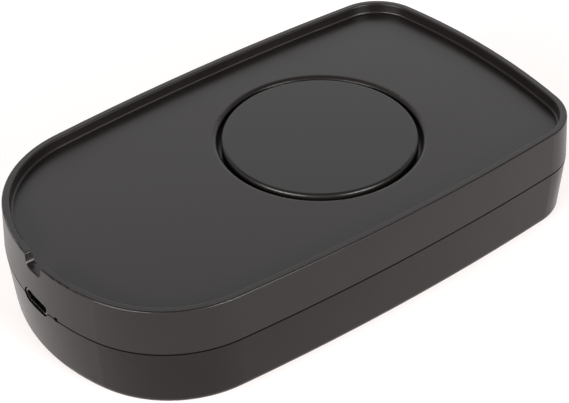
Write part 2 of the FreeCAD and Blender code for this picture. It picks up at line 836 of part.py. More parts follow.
def output_shaft():
    """The motor's shaft: round in the bush, with two flats above its shoulder and a spigot below."""
    body = new_body("output_shaft", "dims.table_y")
    foot_level = plus(THIRD_LAYER, "dims.gear_face")
    boss(body, foot_level, "0", "0", "dims.shaft_radius", minus(SHOULDER, foot_level))
    boss(body, foot_level, "0", "0", "dims.spigot_radius", "dims.spigot_length", along=False)
    key = level_sketch(body, SHOULDER)
    double_flat(key, "dims.shaft_radius", "dims.shaft_flats")
    add(body, key, "dims.shaft_flat_length")


# ---------------------------------------------------------------- reduction gears


def involute(ratio):
    """How far an involute has turned where its radius is `ratio` base circles."""
    roll = math.sqrt(max(ratio**2 - 1, 0))
    return roll - math.atan(roll)


def polar(radius, angle):
    """A point in the plane."""
    return Vector(radius * math.cos(angle), radius * math.sin(angle), 0)


def toothed(teeth, first_tooth, level, hole):
    """A spur gear of standard teeth, thinned for backlash, one tooth at the angle `first_tooth`."""
    module = value("dims.gear_module")
    pitch = module * teeth / 2
    base = pitch * math.cos(math.radians(value("dims.pressure_angle")))
    tip = pitch + value("dims.tooth_addendum") * module
    root = pitch - value("dims.tooth_dedendum") * module
    half = math.pi / (2 * teeth) - value("dims.gear_backlash") / (2 * pitch)
    widest = half + involute(pitch / base)
    edges = []
    for number in range(teeth):
        middle = first_tooth + 2 * math.pi * number / teeth
        following = middle + 2 * math.pi / teeth
        at_tip = widest - involute(tip / base)
        rising = [polar(root, middle - widest), polar(pitch, middle - half), polar(tip, middle - at_tip)]
        falling = [polar(tip, middle + at_tip), polar(pitch, middle + half), polar(root, middle + widest)]
        edges.append(Part.Arc(*rising).toShape())
        edges.append(Part.Arc(rising[2], polar(tip, middle), falling[0]).toShape())
        edges.append(Part.Arc(*falling).toShape())
        edges.append(Part.Arc(falling[2], polar(root, (middle + following) / 2),
                              polar(root, following - widest)).toShape())
    gear = Part.Face(Part.Wire(edges)).extrude(Vector(0, 0, value("dims.gear_face")))
    gear.translate(Vector(0, 0, value(level)))
    return gear.cut(rod_shape(hole, level, plus(level, "dims.gear_face"))) if hole else gear


def rod_shape(radius, low, high):
    """A round rod on the Z axis."""
    return Part.makeCylinder(value(radius), value(minus(high, low)), Vector(0, 0, value(low)))


def tube_shape(outer, inner, low, high):
    """A round tube on the Z axis."""
    return rod_shape(outer, low, high).cut(rod_shape(inner, low, high))


def gear_places():
    """The four axes of the train: rotor, first gear, second gear and output."""
    teeth = value("dims.wheel_teeth + dims.pinion_teeth")
    spacing = value("dims.gear_module") * teeth / 2
    rotor = Vector(0, value(CAN_Y), 0)
    output = Vector(0, value("dims.table_y"), 0)
    first = rotor + polar(spacing, math.radians(value("dims.first_gear_bearing")))
    across = output - first
    rise = math.sqrt(spacing**2 - (across.Length / 2) ** 2)
    normal = Vector(across.y, -across.x, 0) / across.Length
    second = first + across / 2 + normal * rise
    return rotor, first, second, output


def wheel_phase(centre, driver):
    """Turns a wheel so that a gap faces the gear that drives it."""
    return bearing(centre, driver) + math.pi / value("dims.wheel_teeth")


def reduction_gears():
    """The rotor's pinion, two compound gears and the output gear, meshing in three layers."""
    rotor, first, second, output = gear_places()
    wheel = int(value("dims.wheel_teeth"))
    pinion = int(value("dims.pinion_teeth"))
    hole = plus("dims.pin_radius", "dims.running_fit")
    stand = plus(PLATE_TOP, "dims.running_fit")

    shaft = rod_shape("dims.spindle_radius", spindle_foot(), plus(FIRST_LAYER, "dims.gear_face"))
    teeth = toothed(pinion, bearing(rotor, first), FIRST_LAYER, None)
    keep_shape("rotor_shaft", shaft.fuse(teeth).removeSplitter(), rotor.x, rotor.y)

    layers = {"first_gear": (first, rotor, second, FIRST_LAYER, SECOND_LAYER),
              "second_gear": (second, first, output, SECOND_LAYER, THIRD_LAYER)}
    for name, (centre, driver, driven, low, high) in layers.items():
        large = toothed(wheel, wheel_phase(centre, driver), low, hole)
        small = toothed(pinion, bearing(centre, driven), high, hole)
        hub = tube_shape("dims.collar_radius", hole, stand, high)
        keep_shape(name, large.fuse([small, hub]).removeSplitter(), centre.x, centre.y)

    large = toothed(wheel, wheel_phase(output, second), THIRD_LAYER, hole)
    hub = tube_shape("dims.collar_radius", hole, stand, THIRD_LAYER)
    top = plus(THIRD_LAYER, "dims.gear_face")
    seat = rod_shape(plus("dims.spigot_radius", "dims.shaft_fit"),
                     minus(top, "dims.spigot_length"), top)
    keep_shape("output_gear", large.fuse(hub).removeSplitter().cut(seat), output.x, output.y)


def spindle_foot():
    """The height of the rotor shaft's lower end, in its cup in the can's floor."""
    return plus(CAN_UNDER, "dims.can_wall / 2")


def gear_pins():
    """Three fixed pins, pressed in the gear plate, that the gears turn on."""
    _, first, second, output = gear_places()
    shaft_end = minus(THIRD_LAYER, minus("dims.spigot_length", "dims.gear_face"), "dims.running_fit")
    pins = []
    for place, top in ((first, COVER_UNDER), (second, COVER_UNDER), (output, shaft_end)):
        pin = rod_shape("dims.pin_radius", PLATE_UNDER, top)
        pin.translate(place)
        pins.append(pin)
    keep_shape("gear_pins", Part.makeCompound(pins))


def gear_plate():
    """The plate between the rotor and the gears, with the pins' holes and the rotor shaft's bearing."""
    rotor, *places = gear_places()
    edge = minus(CAN_BORE, "dims.running_fit")
    plate = rod_shape(edge, PLATE_UNDER, PLATE_TOP)
    bearing_hole = rod_shape(plus("dims.spindle_radius", "dims.running_fit"), PLATE_UNDER, PLATE_TOP)
    plate = plate.cut(bearing_hole)
    for place in places:
        hole = rod_shape("dims.pin_radius", PLATE_UNDER, PLATE_TOP)
        hole.translate(place - rotor)
        plate = plate.cut(hole)
    keep_shape("gear_plate", plate, rotor.x, rotor.y)


# ---------------------------------------------------------------- rotor, stator and can


def rotor_magnet():
    """The ring magnet on the rotor's shaft."""
    low = plus(CAN_FLOOR, "dims.coil_margin")
    rotor = gear_places()[0]
    magnet = tube_shape("dims.magnet_radius", "dims.spindle_radius",
                        low, plus(low, "dims.magnet_height"))
    keep_shape("rotor_magnet", magnet, rotor.x, rotor.y)


def stator_levels():
    """The undersides of the three pole flanges, evenly spaced from the can's floor to the plate."""
    pitch = f"(({PLATE_UNDER} - {CAN_FLOOR} - dims.pole_flange) / 2)"
    return [plus(CAN_FLOOR, f"{number} * {pitch}") for number in range(3)]


def stator_poles():
    """The stator's iron: a slotted pole sleeve between three flanges."""
    body = new_body("stator_poles", CAN_Y)
    inner = plus("dims.magnet_radius", "dims.rotor_gap")
    outer = plus(inner, "dims.pole_wall")
    edge = minus(CAN_BORE, "dims.running_fit")
    levels = stator_levels()
    top = plus(levels[2], "dims.pole_flange")
    ring(body, levels[0], "0", "0", outer, inner, minus(top, levels[0]))
    for level in levels:
        ring(body, level, "0", "0", edge, plus(inner, "dims.pole_wall / 2"), "dims.pole_flange")
    for low, high in zip(levels, levels[1:]):
        start = plus(low, "dims.pole_flange")
        sketch = level_sketch(body, start)
        half = "dims.pole_slot / 2"
        rectangle(sketch, minus(inner, half), plus(outer, half), f"(-{half})", f"({half})")
        slot = cut(body, sketch, minus(high, start))
        repeat_round(body, slot, "dims.pole_slot_count")


def coils():
    """The two windings, one between each pair of flanges."""
    rotor = gear_places()[0]
    levels = stator_levels()
    inner = plus("dims.magnet_radius", "dims.rotor_gap", "dims.pole_wall", "dims.shaft_fit")
    outer = minus(CAN_BORE, "dims.coil_margin")
    for name, low, high in (("lower_coil", levels[0], levels[1]), ("upper_coil", levels[1], levels[2])):
        winding = tube_shape(outer, inner, plus(low, "dims.pole_flange"), high)
        keep_shape(name, winding, rotor.x, rotor.y)


def motor_can():
    """The motor's drawn can, with a window for the leads and a cup for the rotor's shaft."""
    body = new_body("motor_can", CAN_Y)
    boss(body, CAN_UNDER, "0", "0", CAN_RADIUS, "dims.can_height")
    bore(body, CAN_FLOOR, "0", "0", CAN_BORE, minus(COVER_UNDER, CAN_FLOOR))
    cup_floor = minus(spindle_foot(), "dims.running_fit")
    bore(body, cup_floor, "0", "0", plus("dims.spindle_radius", "dims.running_fit"),
         minus(CAN_FLOOR, cup_floor))
    sketch = upright_sketch(body, f"(-{CAN_RADIUS})")
    half = "dims.window_width / 2"
    low = plus(CAN_UNDER, "dims.lead_cap_rise", "dims.can_wall")
    rectangle(sketch, f"(-{half})", f"({half})", low, plus(low, "dims.window_height"))
    sag = f"({CAN_RADIUS} - sqrt({CAN_RADIUS} ^ 2 - (dims.window_width / 2) ^ 2))"
    cut(body, sketch, plus(sag, "dims.can_wall"), along=False)


def motor_cover():
    """The motor's face plate, with two ears that are screwed to the base's posts."""
    body = new_body("motor_cover", CAN_Y)
    boss(body, COVER_UNDER, "0", "0", CAN_RADIUS, "dims.cover_thickness")
    ears = level_sketch(body, COVER_UNDER)
    stadium(ears, "0", "0", EAR_X, "dims.ear_radius")
    add(body, ears, "dims.cover_thickness")
    holes = level_sketch(body, COVER_UNDER)
    for side in (-1, 1):
        circle(holes, signed(side, EAR_X), "0", plus("dims.ear_shank_radius", "dims.screw_clearance"))
    circle(holes, "0", "dims.shaft_offset", plus("dims.shaft_radius", "dims.running_fit"))
    cut(body, holes, "dims.cover_thickness")


def shaft_bush():
    """The brass bush on the face plate that guides the output shaft."""
    keep(subtract("shaft_bush",
                  cylinder("bush_body", "0", "dims.table_y", COVER_TOP,
                           plus(COVER_TOP, "dims.bush_height"), "dims.bush_radius"),
                  cylinder("bush_bore", "0", "dims.table_y", COVER_TOP,
                           plus(COVER_TOP, "dims.bush_height"),
                           plus("dims.shaft_radius", "dims.running_fit"))), "shaft_bush")


def lead_cap():
    """The moulded cap over the can's window that the leads come out of."""
    low = plus(CAN_UNDER, "dims.lead_cap_rise")
    high = plus(low, "dims.lead_cap_height")
    half = "dims.lead_cap_width / 2"
    solid = block("cap_block", f"(-{half})", f"({half})", cap_front(), CAN_Y, low, high)
    can = cylinder("cap_seat", "0", CAN_Y, low, high, CAN_RADIUS)
    keep(subtract("lead_cap", solid, can), "lead_cap")


def cap_front():
    """Where the lead cap's face is, along Y."""
    return minus(CAN_Y, CAN_RADIUS, "dims.lead_cap_depth")


# ---------------------------------------------------------------- circuit board


def usb_socket():
    """The USB-C receptacle: a drawn shell round an insulator with its contact blade."""
    shell = new_body("usb_socket_shell")
    outside = upright_sketch(shell, MOUTH_Y)
    reach = "((dims.socket_width - dims.socket_height) / 2)"
    stadium(outside, "0", SEAM, reach, "dims.socket_height / 2")
    add(shell, outside, "dims.socket_length", along=False)
    inside = upright_sketch(shell, MOUTH_Y)
    stadium(inside, "0", SEAM, reach, "(dims.socket_height / 2 - dims.socket_sheet)")
    cut(shell, inside, minus("dims.socket_length", "dims.socket_sheet"), along=False)

    tongue = new_body("usb_socket_tongue")
    back = plus(MOUTH_Y, "dims.socket_length", "-dims.socket_sheet")
    base = upright_sketch(tongue, back)
    stadium(base, "0", SEAM, reach, "(dims.socket_height / 2 - dims.socket_sheet)")
    add(tongue, base, "dims.block_length")
    blade = upright_sketch(tongue, back)
    half_width = "dims.blade_width / 2"
    half_height = "dims.blade_thickness / 2"
    rectangle(blade, f"(-{half_width})", f"({half_width})",
              minus(SEAM, half_height), plus(SEAM, half_height))
    add(tongue, blade, minus("dims.socket_length", "dims.socket_sheet", "dims.blade_setback"))


def circuit_board():
    """The board, with a narrow nose under the USB-C receptacle."""
    body = new_body("circuit_board")
    sketch = level_sketch(body, BOARD_UNDER)
    half = "dims.board_width / 2"
    nose = "dims.board_nose_width / 2"
    polygon(sketch, [
        (f"(-{nose})", BOARD_NOSE_Y),
        (f"({nose})", BOARD_NOSE_Y),
        (f"({nose})", BOARD_FRONT_Y),
        (f"({half})", BOARD_FRONT_Y),
        (f"({half})", BOARD_BACK_Y),
        (f"(-{half})", BOARD_BACK_Y),
        (f"(-{half})", BOARD_FRONT_Y),
        (f"(-{nose})", BOARD_FRONT_Y),
    ])
    add(body, sketch, "dims.board_thickness")
    holes = level_sketch(body, BOARD_UNDER)
    for x, y in board_screw_places():
        circle(holes, x, y, plus("dims.board_shank_radius", "dims.screw_clearance"))
    cut(body, holes, "dims.board_thickness")


def board_parts():
    """The controller, the motor driver and the capacitors on the board."""
    socket_back = plus(MOUTH_Y, "dims.socket_length")
    half = "dims.controller_width / 2"
    front = plus(socket_back, "dims.controller_gap")
    keep(block("controller_chip", f"(-{half})", f"({half})", front, plus(front, "dims.controller_width"),
               BOARD_TOP, plus(BOARD_TOP, "dims.controller_height")), "controller_chip")
    half = "dims.driver_length / 2"
    back = minus(HEADER_Y, "dims.driver_gap")
    keep(block("driver_chip", f"(-{half})", f"({half})", minus(back, "dims.driver_width"), back,
               BOARD_TOP, plus(BOARD_TOP, "dims.driver_height")), "driver_chip")
    x = plus("dims.controller_width / 2", "dims.capacitor_gap", "dims.capacitor_radius")
    y = plus(socket_back, "dims.capacitor_setback", "dims.capacitor_radius")
    cans = [cylinder(f"capacitor_{number}", signed(side, x), y, BOARD_TOP,
                     plus(BOARD_TOP, "dims.capacitor_height"), "dims.capacitor_radius")
            for number, side in enumerate((-1, 1))]
    keep(group("board_capacitors", cans), "board_capacitors")


def plug_levels():
    """The underside and the top of the plug, which rests on its header's floor."""
    low = plus(BOARD_TOP, "dims.header_wall")
    high = minus(plus(BOARD_TOP, "dims.header_height"), "dims.header_wall", "dims.plug_clearance")
    return low, high


def motor_connector():
    """The board's side-entry header, open towards the motor, and the plug in it."""
    half = "dims.header_width / 2"
    inner = minus(half, "dims.header_wall")
    top = plus(BOARD_TOP, "dims.header_height")
    low, high = plug_levels()
    shroud = block("header_block", f"(-{half})", f"({half})", HEADER_Y, BOARD_BACK_Y, BOARD_TOP, top)
    space = block("header_space", f"(-{inner})", inner, plus(HEADER_Y, "dims.header_wall"),
                  plus(BOARD_BACK_Y, "dims.overrun"), low, minus(top, "dims.header_wall"))
    keep(subtract("board_header", shroud, space), "board_header")
    plug = minus(inner, "dims.plug_clearance")
    keep(block("lead_plug", f"(-{plug})", plug, PLUG_Y, plus(PLUG_Y, "dims.plug_length"),
               low, high), "lead_plug")


def bent_path(points):
    """A path of straight runs joined by tangent arcs, each arc as large as its runs allow."""
    edges = []
    start = points[0]
    for before, corner, after in zip(points, points[1:], points[2:]):
        incoming = corner - before
        outgoing = after - corner
        shorter = min(incoming.Length, outgoing.Length)
        turn = incoming.getAngle(outgoing)
        radius = 0.45 * shorter / math.tan(turn / 2)
        print(f"lead bend radius {radius:.2f}")
        back = 0.45 * shorter
        entry = corner - incoming.normalize() * back
        leave = corner + outgoing.normalize() * back
        inward = (outgoing - incoming).normalize()
        middle = corner + inward * (radius / math.cos(turn / 2) - radius)
        edges.append(Part.LineSegment(start, entry).toShape())
        edges.append(Part.Arc(entry, middle, leave).toShape())
        start = leave
    edges.append(Part.LineSegment(start, points[-1]).toShape())
    return Part.Wire(edges)


def motor_leads():
    """The leads from the motor's cap up to the plug on the board."""
    low, high = plug_levels()
    start = Vector(0, value(cap_front()), value(plus(CAN_UNDER, "dims.lead_cap_rise"))
                   + value("dims.lead_cap_height") / 2)
    end = Vector(0, value(plus(PLUG_Y, "dims.plug_length")), value(f"({low} + {high}) / 2"))
    straight = Vector(0, (start.y - end.y) / 4, 0)
    count = int(value("dims.lead_count"))
    leads = []
    for number in range(count):
        aside = Vector((number - (count - 1) / 2) * value("dims.lead_pitch"), 0, 0)
        points = [point + aside for point in (start, start - straight, end + straight, end)]
        path = bent_path(points)
        section = Part.Circle(points[0], Vector(0, 1, 0), value("dims.lead_radius")).toShape()
        leads.append(path.makePipeShell([Part.Wire(section)], True, False))
    keep_shape("motor_leads", Part.makeCompound(leads))


# ---------------------------------------------------------------- build and write


def check_parts():
    """Stops the build if an object has failed or a sub-part has no sound shape."""
    for item in DOC.Objects:
        if {"Invalid", "Error"} & set(item.State):
            raise RuntimeError(f"{item.Label} failed: {item.State}")
    for piece in PARTS:
        if piece.Shape.isNull() or not piece.Shape.isValid() or not piece.Shape.Solids:
            raise RuntimeError(f"{piece.Label} has no sound shape")


def write_parts():
    """Writes one STEP file for each sub-part."""
    os.makedirs("parts", exist_ok=True)
    for piece in PARTS:
        piece.Shape.exportStep(f"parts/{piece.Label}.step")
        print(f"{piece.Label}: {len(piece.Shape.Solids)} solids, {piece.Shape.Volume:.1f} mm3")


fill_sheet()
bottom_shell()
top_shell()
feet()
screws()
turntable_disc()
output_shaft()
reduction_gears()
gear_pins()
gear_plate()
rotor_magnet()
stator_poles()
coils()
motor_can()
motor_cover()
shaft_bush()
lead_cap()
usb_socket()
circuit_board()
board_parts()
motor_connector()
motor_leads()
DOC.recompute()
check_parts()
write_parts()
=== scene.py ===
"""Dresses the mouse jiggler: a finish for every piece, the small metal parts and a plain studio."""

import logging
import math
from dataclasses import dataclass, field
from enum import Enum
from typing import Callable, Mapping, Sequence

import bpy
from mathutils import Matrix, Vector

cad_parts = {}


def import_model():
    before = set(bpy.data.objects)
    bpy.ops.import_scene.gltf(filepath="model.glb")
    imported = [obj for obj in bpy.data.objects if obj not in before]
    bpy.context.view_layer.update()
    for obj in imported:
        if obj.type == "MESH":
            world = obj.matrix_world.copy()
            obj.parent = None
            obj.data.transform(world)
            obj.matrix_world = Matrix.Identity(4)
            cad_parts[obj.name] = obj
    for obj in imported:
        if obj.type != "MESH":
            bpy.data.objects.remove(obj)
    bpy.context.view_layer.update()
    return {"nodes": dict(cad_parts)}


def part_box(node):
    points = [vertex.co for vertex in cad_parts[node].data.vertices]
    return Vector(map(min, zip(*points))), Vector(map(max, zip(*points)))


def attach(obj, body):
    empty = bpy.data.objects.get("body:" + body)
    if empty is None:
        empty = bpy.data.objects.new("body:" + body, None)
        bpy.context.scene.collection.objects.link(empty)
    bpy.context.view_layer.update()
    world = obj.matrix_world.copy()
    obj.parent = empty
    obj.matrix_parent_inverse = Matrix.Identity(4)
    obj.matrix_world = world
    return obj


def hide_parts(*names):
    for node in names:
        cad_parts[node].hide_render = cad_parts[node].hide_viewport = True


LOG = logging.getLogger("mouse_jiggler")
MM = 0.001
# Faces that meet at less than this angle are shaded as one surface.
SMOOTH_ANGLE = math.radians(35)
# The cosine past which a face counts as facing an axis.
FACING = 0.9


# ---------------------------------------------------------------- colour and nodes


def linear(code: str) -> tuple[float, float, float, float]:
    """Turns an sRGB hex colour into the linear values that shaders take, by the standard's curve.

    Args:
        code: six hex digits, such as "1e1d1c".

    Returns:
        Linear red, green, blue and full opacity.
    """
    parts = [int(code[at:at + 2], 16) / 255 for at in (0, 2, 4)]
    red, green, blue = [
        part / 12.92 if part <= 0.04045 else ((part + 0.055) / 1.055) ** 2.4 for part in parts]
    return red, green, blue, 1.0


def add_node(
    tree: bpy.types.NodeTree,
    kind: str,
    settings: Mapping[str | int, object] | None = None,
    links: Mapping[str | int, bpy.types.NodeSocket] | None = None,
) -> bpy.types.Node:
    """Adds a node with its settings and links.

    Args:
        tree: The tree that the node goes in.
        kind: The node's type.
        settings: Input sockets, by name or number, and properties, by name, with their values.
        links: Input sockets, by name or number, with the outputs that feed them.

    Returns:
        The new node.
    """
    node = tree.nodes.new(kind)
    for name, setting in (settings or {}).items():
        if isinstance(name, int) or name in node.inputs:
            node.inputs[name].default_value = setting
        else:
            setattr(node, name, setting)
    for name, source in (links or {}).items():
        tree.links.new(source, node.inputs[name])
    return node


def blank_material(name: str) -> tuple[bpy.types.Material, bpy.types.NodeTree]:
    """Makes a material with nothing but its output.

    Args:
        name: The material's name.

    Returns:
        The material and its node tree.
    """
    material = bpy.data.materials.new(name)
    material.use_nodes = True
    material.node_tree.nodes.clear()
    add_node(material.node_tree, "ShaderNodeOutputMaterial")
    return material, material.node_tree


# ---------------------------------------------------------------- finishes

# The levels of the patches' noise between which the roughness and the colour go from one end to
# the other. Most of the noise lies between them.
PATCH_LEVELS = (0.3, 0.7)
TINT_LEVELS = (0.35, 0.65)
# A wave texture of scale 1 has its bands this far apart, in metres.
WAVE_SPACING = 0.314


class Grain(Enum):
    """How the fine relief runs: how close it is along X, Y and Z, as shares of its spacing."""

    EVEN = (1.0, 1.0, 1.0)
    DRAWN_ALONG_Z = (1.0, 1.0, 0.06)
    ROLLED_ALONG_X = (0.04, 1.0, 1.0)
    RINGED_ROUND_Z = (0.02, 0.02, 1.0)


@dataclass(frozen=True)
class Finish:
    """A surface: its colour, how it shines and the relief that its making left.

    Attributes:
        name: What the material is and how its surface was made.
        colour: Its main colour, as sRGB hex.
        tint: A second colour that it drifts to in patches, as sRGB hex.
        roughness: Its roughness, which the patches vary by `roughness_spread`.
        roughness_spread: How much smoother and rougher the patches are.
        patch_mm: The size of the patches.
        grain: How the relief runs.
        grain_mm: The spacing of the relief.
        relief_mm: How deep the relief is.
        metallic: 1 for a metal, otherwise 0.
        ior: The refractive index.
        coat: The share of a clear coat.
        coat_roughness: The roughness of that coat.
    """

    name: str
    colour: str
    tint: str
    roughness: float
    roughness_spread: float = 0.04
    patch_mm: float = 18.0
    grain: Grain = Grain.EVEN
    grain_mm: float = 0.35
    relief_mm: float = 0.012
    metallic: float = 0.0
    ior: float = 1.5
    coat: float = 0.0
    coat_roughness: float = 0.1

    def material(self) -> bpy.types.Material:
        """Makes the material.

        Returns:
            The finish as a material.
        """
        material, tree = blank_material(self.name)
        place = add_node(tree, "ShaderNodeTexCoord").outputs["Object"]
        patches = add_node(
            tree, "ShaderNodeTexNoise",
            {"Scale": 1 / (self.patch_mm * MM), "Detail": 3.0, "Roughness": 0.55},
            {"Vector": place})
        colour = self.colour_output(tree, place, patches.outputs["Fac"])
        roughness = add_node(
            tree, "ShaderNodeMapRange",
            {"From Min": PATCH_LEVELS[0], "From Max": PATCH_LEVELS[1],
             "To Min": self.roughness - self.roughness_spread,
             "To Max": self.roughness + self.roughness_spread},
            {"Value": patches.outputs["Fac"]})
        bump = add_node(
            tree, "ShaderNodeBump",
            {"Strength": 1.0, "Distance": self.relief_mm * MM},
            {"Height": self.relief_output(tree, place)})
        shader = add_node(
            tree, "ShaderNodeBsdfPrincipled",
            {"Metallic": self.metallic, "IOR": self.ior, "Coat Weight": self.coat,
             "Coat Roughness": self.coat_roughness},
            {"Base Color": colour, "Roughness": roughness.outputs["Result"],
             "Normal": bump.outputs["Normal"]})
        output = tree.nodes["Material Output"]
        tree.links.new(shader.outputs["BSDF"], output.inputs["Surface"])
        return material

    def colour_output(
        self, tree: bpy.types.NodeTree, place: bpy.types.NodeSocket, patches: bpy.types.NodeSocket
    ) -> bpy.types.NodeSocket:
        """Mixes the two colours in soft patches.

        Args:
            tree: The material's tree.
            place: The object coordinates.
            patches: The noise that sets where the second colour shows.

        Returns:
            The colour socket.
        """
        ramp = add_node(tree, "ShaderNodeValToRGB", links={"Fac": patches})
        for stop, level, code in zip(
                ramp.color_ramp.elements, TINT_LEVELS, (self.colour, self.tint)):
            stop.position = level
            stop.color = linear(code)
        return ramp.outputs["Color"]

    def relief_output(
        self, tree: bpy.types.NodeTree, place: bpy.types.NodeSocket
    ) -> bpy.types.NodeSocket:
        """Makes the height of the relief.

        Args:
            tree: The material's tree.
            place: The object coordinates.

        Returns:
            The height socket.
        """
        spread = add_node(
            tree, "ShaderNodeMapping", {"Scale": self.grain.value}, {"Vector": place})
        noise = add_node(
            tree, "ShaderNodeTexNoise",
            {"Scale": 1 / (self.grain_mm * MM), "Detail": 2.0, "Roughness": 0.6},
            {"Vector": spread.outputs["Vector"]})
        return noise.outputs["Fac"]


@dataclass(frozen=True)
class WoundFinish(Finish):
    """Enamelled copper wire in close turns, one above another.

    Attributes:
        turn_mm: How far apart the turns are.
    """

    turn_mm: float = 0.3

    def relief_output(
        self, tree: bpy.types.NodeTree, place: bpy.types.NodeSocket
    ) -> bpy.types.NodeSocket:
        """Makes round ridges stacked up the winding.

        Args:
            tree: The material's tree.
            place: The object coordinates.

        Returns:
            The height socket.
        """
        wave = add_node(
            tree, "ShaderNodeTexWave",
            {"wave_type": "BANDS", "bands_direction": "Z", "wave_profile": "SIN",
             "Scale": WAVE_SPACING / (self.turn_mm * MM), "Distortion": 0.4, "Detail": 1.0},
            {"Vector": place})
        return wave.outputs["Fac"]


@dataclass(frozen=True)
class BandedFinish(Finish):
    """Insulated leads side by side, each with its own colour.

    Attributes:
        bands: The leads' colours from left to right, as sRGB hex.
        pitch_mm: How far apart the leads are.
    """

    bands: tuple[str, ...] = ()
    pitch_mm: float = 2.0

    def colour_output(
        self, tree: bpy.types.NodeTree, place: bpy.types.NodeSocket, patches: bpy.types.NodeSocket
    ) -> bpy.types.NodeSocket:
        """Gives each lead its colour by where it is across the object.

        Args:
            tree: The material's tree.
            place: The object coordinates.
            patches: Not used, because a lead's colour is even.

        Returns:
            The colour socket.
        """
        width = len(self.bands) * self.pitch_mm * MM
        across = add_node(tree, "ShaderNodeSeparateXYZ", links={"Vector": place})
        share = add_node(
            tree, "ShaderNodeMapRange", {"From Min": -width / 2, "From Max": width / 2},
            {"Value": across.outputs["X"]})
        ramp = add_node(tree, "ShaderNodeValToRGB", links={"Fac": share.outputs["Result"]})
        ramp.color_ramp.interpolation = "CONSTANT"
        while len(ramp.color_ramp.elements) < len(self.bands):
            ramp.color_ramp.elements.new(1.0)
        for number, code in enumerate(self.bands):
            ramp.color_ramp.elements[number].position = number / len(self.bands)
            ramp.color_ramp.elements[number].color = linear(code)
        return ramp.outputs["Color"]


# Black ABS from a spark-eroded mould: an even satin that takes a broad, soft sheen. The mould's
# real grain is about 0.1 mm, which is too fine to show, so it is drawn at 0.35 mm, here and on
# the base and the disc.
CASE_ABS = Finish(
    name="case_abs_spark_eroded", colour="161211", tint="191514", roughness=0.32,
    roughness_spread=0.03, patch_mm=24.0, grain_mm=0.35, relief_mm=0.010, ior=1.4)
# The same plastic, darker and less reflective: painted shade on the base, for the shaded floor
# beside it that its walls reflect. The base shines less and looks a little darker.
BASE_ABS_PAINTED_SHADE = Finish(
    name="base_abs_painted_shade", colour="120e0d", tint="151110", roughness=0.25,
    roughness_spread=0.03, patch_mm=24.0, grain_mm=0.35, relief_mm=0.012, ior=1.29)
# The same plastic with the disc's own mould: an even satin with hardly any patches.
TURNTABLE_ABS = Finish(
    name="turntable_abs_spark_eroded", colour="141211", tint="171514", roughness=0.35,
    roughness_spread=0.02, patch_mm=16.0, grain_mm=0.35, relief_mm=0.010, ior=1.4)
# Black silicone rubber from a plain mould: dull, with a little dust in its pores.
FOOT_RUBBER = Finish(
    name="foot_silicone_moulded", colour="161616", tint="1c1c1c", roughness=0.78,
    roughness_spread=0.06, patch_mm=3.0, grain_mm=0.25, relief_mm=0.02, ior=1.41)
# Cold-headed steel with bright zinc plating: a greyish metal with soft mottling.
SCREW_STEEL = Finish(
    name="screw_steel_zinc_plated", colour="b9bbbe", tint="a7a9ae", roughness=0.32,
    roughness_spread=0.06, patch_mm=1.2, grain_mm=0.2, relief_mm=0.004, metallic=1.0)
# Ground steel rod: fine rings round its length.
SHAFT_STEEL = Finish(
    name="shaft_steel_ground", colour="c3c4c6", tint="b4b5b8", roughness=0.22,
    roughness_spread=0.04, patch_mm=2.0, grain=Grain.RINGED_ROUND_Z, grain_mm=0.12, relief_mm=0.002,
    metallic=1.0)
# Natural acetal from a polished mould: milky and slightly waxy.
GEAR_ACETAL = Finish(
    name="gear_acetal_moulded", colour="e4e1d6", tint="dad6c8", roughness=0.38,
    roughness_spread=0.05, patch_mm=2.0, grain_mm=0.3, relief_mm=0.004, ior=1.48)
# Sintered ferrite, ground outside: a dark stone-like grey with fine pores.
MAGNET_FERRITE = Finish(
    name="magnet_ferrite_sintered", colour="2e2e31", tint="3a3a3d", roughness=0.58,
    roughness_spread=0.08, patch_mm=1.0, grain_mm=0.15, relief_mm=0.010, ior=2.0)
# Stamped soft iron with bright tin plating.
POLE_IRON = Finish(
    name="pole_iron_stamped", colour="a9aaab", tint="989a9c", roughness=0.36,
    roughness_spread=0.06, patch_mm=2.5, grain=Grain.ROLLED_ALONG_X, grain_mm=0.2,
    relief_mm=0.003, metallic=1.0)
# Deep-drawn steel with zinc plating: faint streaks up the wall where it slid through the die.
CAN_STEEL = Finish(
    name="can_steel_deep_drawn", colour="bfc0bd", tint="aeb0ae", roughness=0.34,
    roughness_spread=0.05, patch_mm=6.0, grain=Grain.DRAWN_ALONG_Z, grain_mm=0.3,
    relief_mm=0.003, metallic=1.0)
# Rolled steel sheet with zinc plating, blanked flat.
PLATE_STEEL = Finish(
    name="plate_steel_blanked", colour="bcbdbb", tint="abadac", roughness=0.36,
    roughness_spread=0.05, patch_mm=5.0, grain=Grain.ROLLED_ALONG_X, grain_mm=0.25,
    relief_mm=0.003, metallic=1.0)
# Copper wire under clear polyurethane enamel, 0.1 mm thick, drawn at 0.3 mm so that turns show.
WINDING_COPPER = WoundFinish(
    name="winding_copper_enamelled", colour="b4683a", tint="a55a30", roughness=0.3,
    roughness_spread=0.05, patch_mm=2.0, relief_mm=0.06, metallic=1.0, coat=0.6,
    coat_roughness=0.12)
# Turned brass with fine tool rings.
BUSH_BRASS = Finish(
    name="bush_brass_turned", colour="cda85c", tint="c09a50", roughness=0.27,
    roughness_spread=0.05, patch_mm=2.0, grain=Grain.RINGED_ROUND_Z, grain_mm=0.12, relief_mm=0.002,
    metallic=1.0)
# Blue polypropylene from a smooth mould.
CAP_POLYPROPYLENE = Finish(
    name="cap_polypropylene_moulded", colour="1f57a6", tint="1b4f9a", roughness=0.36,
    roughness_spread=0.04, patch_mm=4.0, grain_mm=0.3, relief_mm=0.003, ior=1.49)
# PVC insulation in the five colours that tell a stepper's windings apart.
LEAD_PVC = BandedFinish(
    name="lead_pvc_extruded", colour="b0301f", tint="b0301f", roughness=0.42,
    roughness_spread=0.04, patch_mm=2.0, grain_mm=0.4, relief_mm=0.003, ior=1.53,
    bands=("2c5fb4", "d78aa6", "e2c33a", "dd7a26", "b0301f"))
